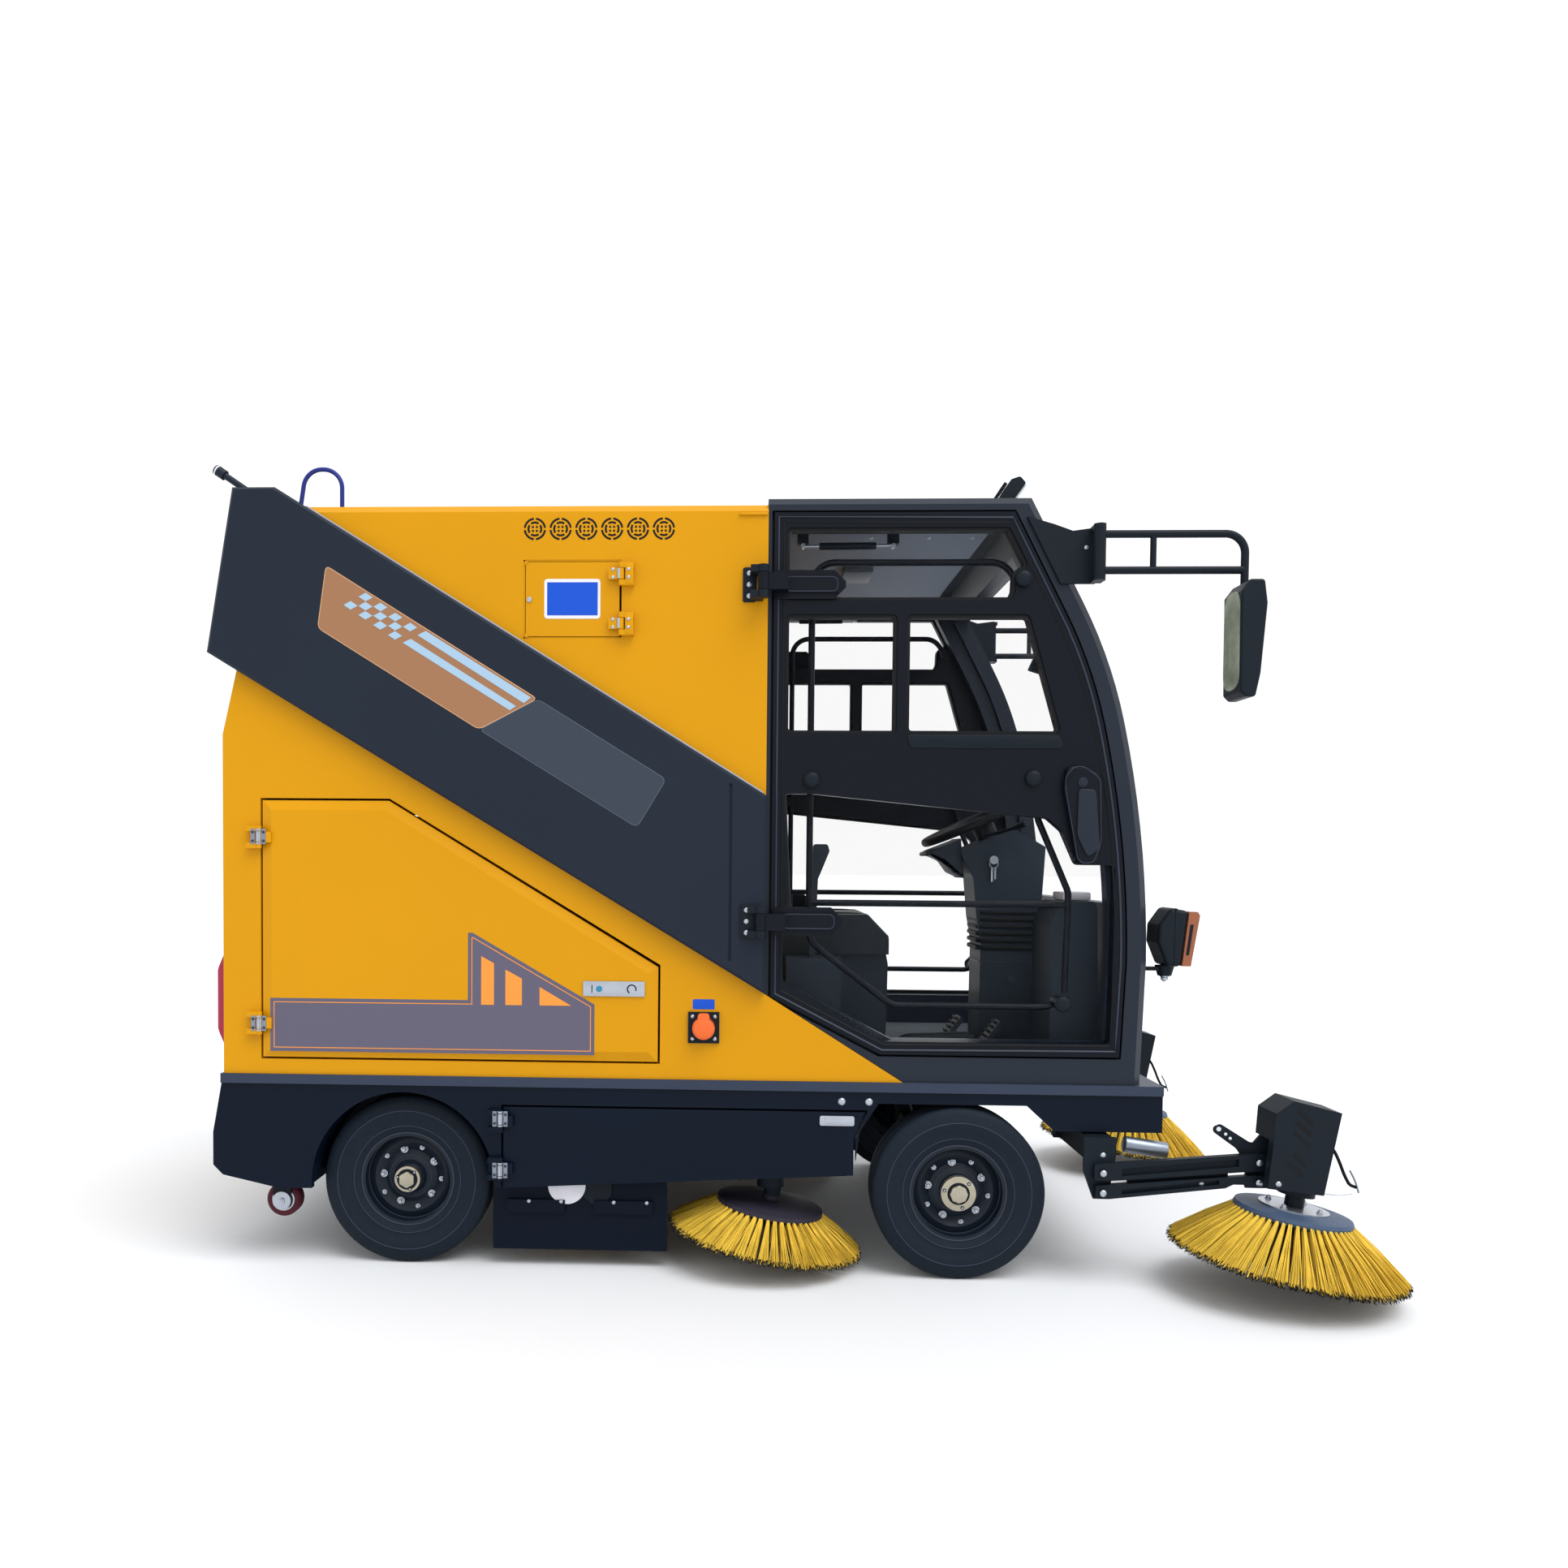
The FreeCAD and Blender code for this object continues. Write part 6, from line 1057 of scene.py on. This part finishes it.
def control_trim():
    panel = Batch("console_lid", "chassis", "sign_pale")
    low, high = node_box("cab_controls")
    y = -0.350
    panel.box((0.760, y - 0.060, 1.0155), (0.840, y + 0.060, 1.040), 0.006)
    panel.done()
    bottle = Batch("washer_bottle", "chassis", "headliner")
    bottle.prism(soft([(0.866, 1.040), (0.900, 1.060), (0.905, 1.110), (0.872, 1.110)], 0.008), y - 0.14, y - 0.06, bevel=0.004)
    bottle.done()
    brake = Batch("parking_brake", "chassis", "dark_parts")
    brake.tube([(0.300, -0.300, 0.560), (0.330, -0.300, 0.596), (0.520, -0.300, 0.604)], 0.020, 0.02, 16)
    brake.rod((0.520, -0.300, 0.604), (0.535, -0.300, 0.6045), 0.009, 12)
    brake.box((0.290, -0.330, 0.5405), (0.360, -0.270, 0.580), 0.006)
    brake.done()
    pads = Batch("pedal_pads", "chassis", "seal")
    for number, x in enumerate((0.532, 0.632)):
        yy = -0.130 - 0.095 * number
        for k in range(5):
            u = 0.16 + 0.17 * k
            px, pz = x - 0.071 + 0.058 * u, 0.530 + 0.045 + 0.078 * u
            pads.box((px - 0.004, yy - 0.032, pz), (px + 0.002, yy + 0.032, pz + 0.007), 0.001)
    pads.done()
    block = Batch("visor_block", "cab_door_right", "dark_parts")
    block.prism([(0.612, 1.642), (0.655, 1.628), (0.690, 1.700), (0.645, 1.716)], -0.570, -0.600, bevel=0.003)
    block.rod((0.676, -0.600, 1.674), (0.690, -0.610, 1.674), 0.010, 12)
    block.done()


def lamp_trim(side, q):
    y = 0.560 * q
    shell = Batch("lamp_ridges_" + side, "chassis", "dark_parts")
    shell.prism([(1.004, 0.852), (1.009, 0.852), (1.011, 1.003), (1.006, 1.003)], y - 0.0565, y + 0.0565, bevel=0.001)
    shell.rod((0.998, y, 0.818), (0.998, y, 0.846), 0.018, 24, tip=0.026)
    shell.done()
    bar = Batch("lamp_lens_bar_" + side, "chassis", "dark_parts")
    bar.prism([(1.0354, 0.878), (1.0433, 0.878), (1.0543, 0.960), (1.0455, 0.960)], 0.6146 * q, 0.6158 * q)
    bar.done()
    foot = Batch("lamp_foot_" + side, "chassis", "zinc_steel")
    foot.nut((0.998, y, 0.818), (0, 0, -1), 0.010, 0.012)
    foot.done()
    roof = Batch("roof_lens_" + side, "chassis", "clear_lens")
    ry = 0.520 * q
    roof.prism([(0.5705, 2.1030), (0.6015, 2.1455), (0.6015, 2.1560), (0.6075, 2.1560), (0.6075, 2.1430), (0.5750, 2.0998)],
               ry - 0.034, ry + 0.034, bevel=0.001)
    roof.done()
    fins = Batch("roof_lamp_fins_" + side, "chassis", "dark_parts")
    for k in range(3):
        fins.prism([(0.538 + 0.007 * k, 2.121 + 0.011 * k), (0.542 + 0.007 * k, 2.127 + 0.011 * k),
                    (0.534 + 0.007 * k, 2.132 + 0.011 * k), (0.531 + 0.007 * k, 2.127 + 0.011 * k)], ry - 0.034, ry + 0.034)
    fins.done()


def mirror_trim(side, q):
    node = "mirror_" + side
    low, high = node_box(node)
    # Mirror pane: its pale mottled colour is partly painted reflection.
    pane = Batch("mirror_pane_" + side, node, "mirror")
    y0, y1 = sorted(((0.690 - 0.024 + 0.010) * q, (0.690 - 0.024 + 0.120 - 0.010) * q))
    x = 0.767 + 0.331
    pane.prism(soft([(y0, 1.568), (y1, 1.568), (y1, 1.818), (y0, 1.818)], 0.045), x - 0.0035, x + 0.002, axis="X")
    pane.done()
    bolt = Batch("mirror_bolts_" + side, "chassis", "zinc_steel")
    bolt.dome((0.742, 0.655 * q, 1.952), (0, q, 0), 0.006, 0.004)
    bolt.done()


# ---------------------------------------------------------------- brush arms
def arm_trim(side, q):
    y = 0.7105 * q
    pins = Batch("arm_pins_" + side, "chassis", "zinc_steel")
    for x, z in ((0.798, 0.310), (0.798, 0.258)):
        pins.dome((x, 0.7185 * q, z), (0, q, 0), 0.0095, 0.005)
    y = skin(0.804, 0.352, q, "frame_rails")
    pins.dome((0.804, y, 0.352), (0, q, 0), 0.0080, 0.005)
    pins.done()
    stop = Batch("link_stop_bolt_" + side, "front_link_lower_" + side, "zinc_steel")
    stop.dome((1.058, skin(1.058, 0.283, q, "front_link_lower_" + side), 0.283), (0, q, 0), 0.0075, 0.004)
    stop.done()
    guard = Batch("link_guard_" + side, "front_link_upper_" + side, "dark_parts")
    slope = (0.344 - 0.310) / (1.199 - 0.798)
    rise = lambda x, z: z + (x - 0.798) * slope
    x0, x1 = 0.868, 1.130
    guard.prism([(x0, rise(x0, 0.262)), (x1, rise(x1, 0.262)), (x1, rise(x1, 0.304)), (x0, rise(x0, 0.304))],
                0.6870 * q, 0.6835 * q)
    guard.prism([(x0, rise(x0, 0.296)), (x1, rise(x1, 0.296)), (x1, rise(x1, 0.312)), (x0, rise(x0, 0.312))],
                0.6902 * q, 0.6865 * q)
    guard.done()
    head = "front_head_" + side
    ends = Batch("head_pins_" + side, head, "zinc_steel")
    for x, z in ((1.199, 0.344), (1.199, 0.292)):
        ends.dome((x, 0.7185 * q, z), (0, q, 0), 0.0095, 0.005)
    ends.done()
    # Dark slot shapes on the motor box: painted shade for the slots' shaded insides.
    slots = Batch("motor_slot_shade_" + side, head, "seal")
    y = 0.770 * q
    for x0, z0, x1, z1 in ((1.271, 0.494, 1.312, 0.456), (1.265, 0.467, 1.308, 0.429), (1.261, 0.440, 1.302, 0.402),
                           (1.262, 0.384, 1.293, 0.351), (1.244, 0.364, 1.286, 0.325)):
        way = Vector((x1 - x0, z1 - z0)).normalized()
        side_way = Vector((-way.y, way.x)) * 0.0048
        a, b = Vector((x0, z0)), Vector((x1, z1))
        slots.prism(soft([tuple(a + side_way), tuple(b + side_way), tuple(b - side_way), tuple(a - side_way)], 0.0046),
                    y - 0.001 * q, y + 0.0006 * q)
    slots.done()
    near = Batch("motor_bolt_" + side, head, "zinc_steel")
    near.dome((1.226, skin(1.226, 0.303, q, head), 0.303), (0, q, 0), 0.008, 0.004)
    near.done()
    lug = Batch("head_lug_" + side, head, "dark_parts")
    lug.prism(soft([(1.090, 0.432), (1.108, 0.440), (1.185, 0.392), (1.240, 0.392), (1.240, 0.330), (1.180, 0.330),
                    (1.150, 0.375), (1.090, 0.418)], 0.006), 0.6905 * q, 0.6825 * q, bevel=0.001)
    lug.done()
    holes = Batch("lug_holes_" + side, head, "clear_lens")
    for x, z, r in ((1.102, 0.427, 0.006), (1.120, 0.414, 0.004), (1.132, 0.403, 0.004)):
        holes.rod((x, 0.6910 * q, z), (x, 0.6925 * q, z), r, 16)
    holes.done()
    ram = Batch("lift_ram_" + side, "chassis", "ram_steel")
    ram.rod((0.872, 0.640 * q, 0.372), (0.985, 0.640 * q, 0.356), 0.022, 28, bevel=0.003)
    ram.done()
    cable = Batch("motor_cable_" + side, head, "seal")
    y = 0.720 * q
    cable.tube([(1.372, y, 0.398), (1.388, y, 0.380), (1.402, y, 0.350), (1.414, y, 0.318), (1.428, y, 0.292),
                (1.446, y, 0.286)], 0.0042, 0.02, 8)
    cable.done()
    clip = Batch("cable_clip_" + side, head, "ram_steel")
    clip.tube([(1.428, y, 0.330), (1.437, y, 0.314), (1.444, y, 0.298), (1.452, y, 0.272)], 0.0024, 0.012, 8)
    clip.tube([(1.366, y, 0.268), (1.400, y, 0.264), (1.436, y, 0.269)], 0.0013, 0.02, 6)
    clip.done()


# ---------------------------------------------------------------- stage
def camera():
    """The photo's view: 1550 px of focal length on 1932, its centre moved off the middle."""
    data = bpy.data.cameras.new("camera")
    data.sensor_width = 36
    data.lens = 1550 / 1932 * 36
    data.shift_x = (966 - 842) / 1932
    data.shift_y = (1108 - 966) / 1932
    data.clip_end = 100
    cam = bpy.data.objects.new("camera", data)
    bpy.context.scene.collection.objects.link(cam)
    right = Vector((0.99914768, 0.0405922, 0.00749612))
    down = Vector((0.00875512, -0.03092739, -0.99948329))
    ahead = Vector((-0.04033939, 0.99869704, -0.03125642))
    turn = Matrix((right, -down, -ahead)).transposed().to_4x4()
    cam.matrix_world = Matrix.Translation(Vector((-0.175, -4.03, 1.123)) + DATUM) @ turn
    bpy.context.scene.camera = cam


def stage():
    scene = bpy.context.scene
    scene.view_settings.view_transform = "Standard"
    world = bpy.data.worlds.new("studio")
    world.use_nodes = True
    tree = world.node_tree
    tree.nodes["Background"].inputs["Color"].default_value = (1.0, 1.0, 1.0, 1)
    place = tree.nodes.new("ShaderNodeTexCoord")
    split = tree.nodes.new("ShaderNodeSeparateXYZ")
    climb = tree.nodes.new("ShaderNodeMapRange")
    for socket, value in (("From Min", 0.15), ("From Max", 1.0), ("To Min", 1.06), ("To Max", 1.2)):
        climb.inputs[socket].default_value = value
    tree.links.new(place.outputs["Generated"], split.inputs["Vector"])
    tree.links.new(split.outputs["Z"], climb.inputs["Value"])
    tree.links.new(climb.outputs["Result"], tree.nodes["Background"].inputs["Strength"])
    scene.world = world
    bpy.ops.mesh.primitive_plane_add(size=200, location=(0, 0, -0.001))
    floor = bpy.context.object
    floor.name = "floor"
    floor.data.materials.append(material("floor_paint", (216, 218, 221), 0.7))
    light = bpy.data.lights.new("key", "SUN")
    light.energy = 2.2
    light.angle = math.radians(42)
    lamp = bpy.data.objects.new("key", light)
    scene.collection.objects.link(lamp)
    lamp.rotation_euler = Vector((-2.2, 2.7, -6.0)).to_track_quat("-Z", "Y").to_euler()



def build():
    for side, q in SIDES:
        for end in ("front", "rear"):
            wheel(end, side, q)
        front_brush(side, q)
        mid_brush(side, q)
        leaf_hinges(side, q)
        side_door_trim(side, q)
        skirt_trim(side, q)
        skirt_gap_shade(side, q)
        curtain_trim(side, q)
        roller_trim(side, q)
        cab_trim(side, q)
        pane_seals(side, q)
        door_beads(side, q)
        glide_rail(side, q)
        lamp_trim(side, q)
        mirror_trim(side, q)
        arm_trim(side, q)
    main_brush()
    body_trim()
    side_label()
    cover_label()
    water_door_trim()
    socket_trim()
    struts()
    cab_inside()
    seat_trim()
    column_trim()
    control_trim()


build()
camera()
stage()
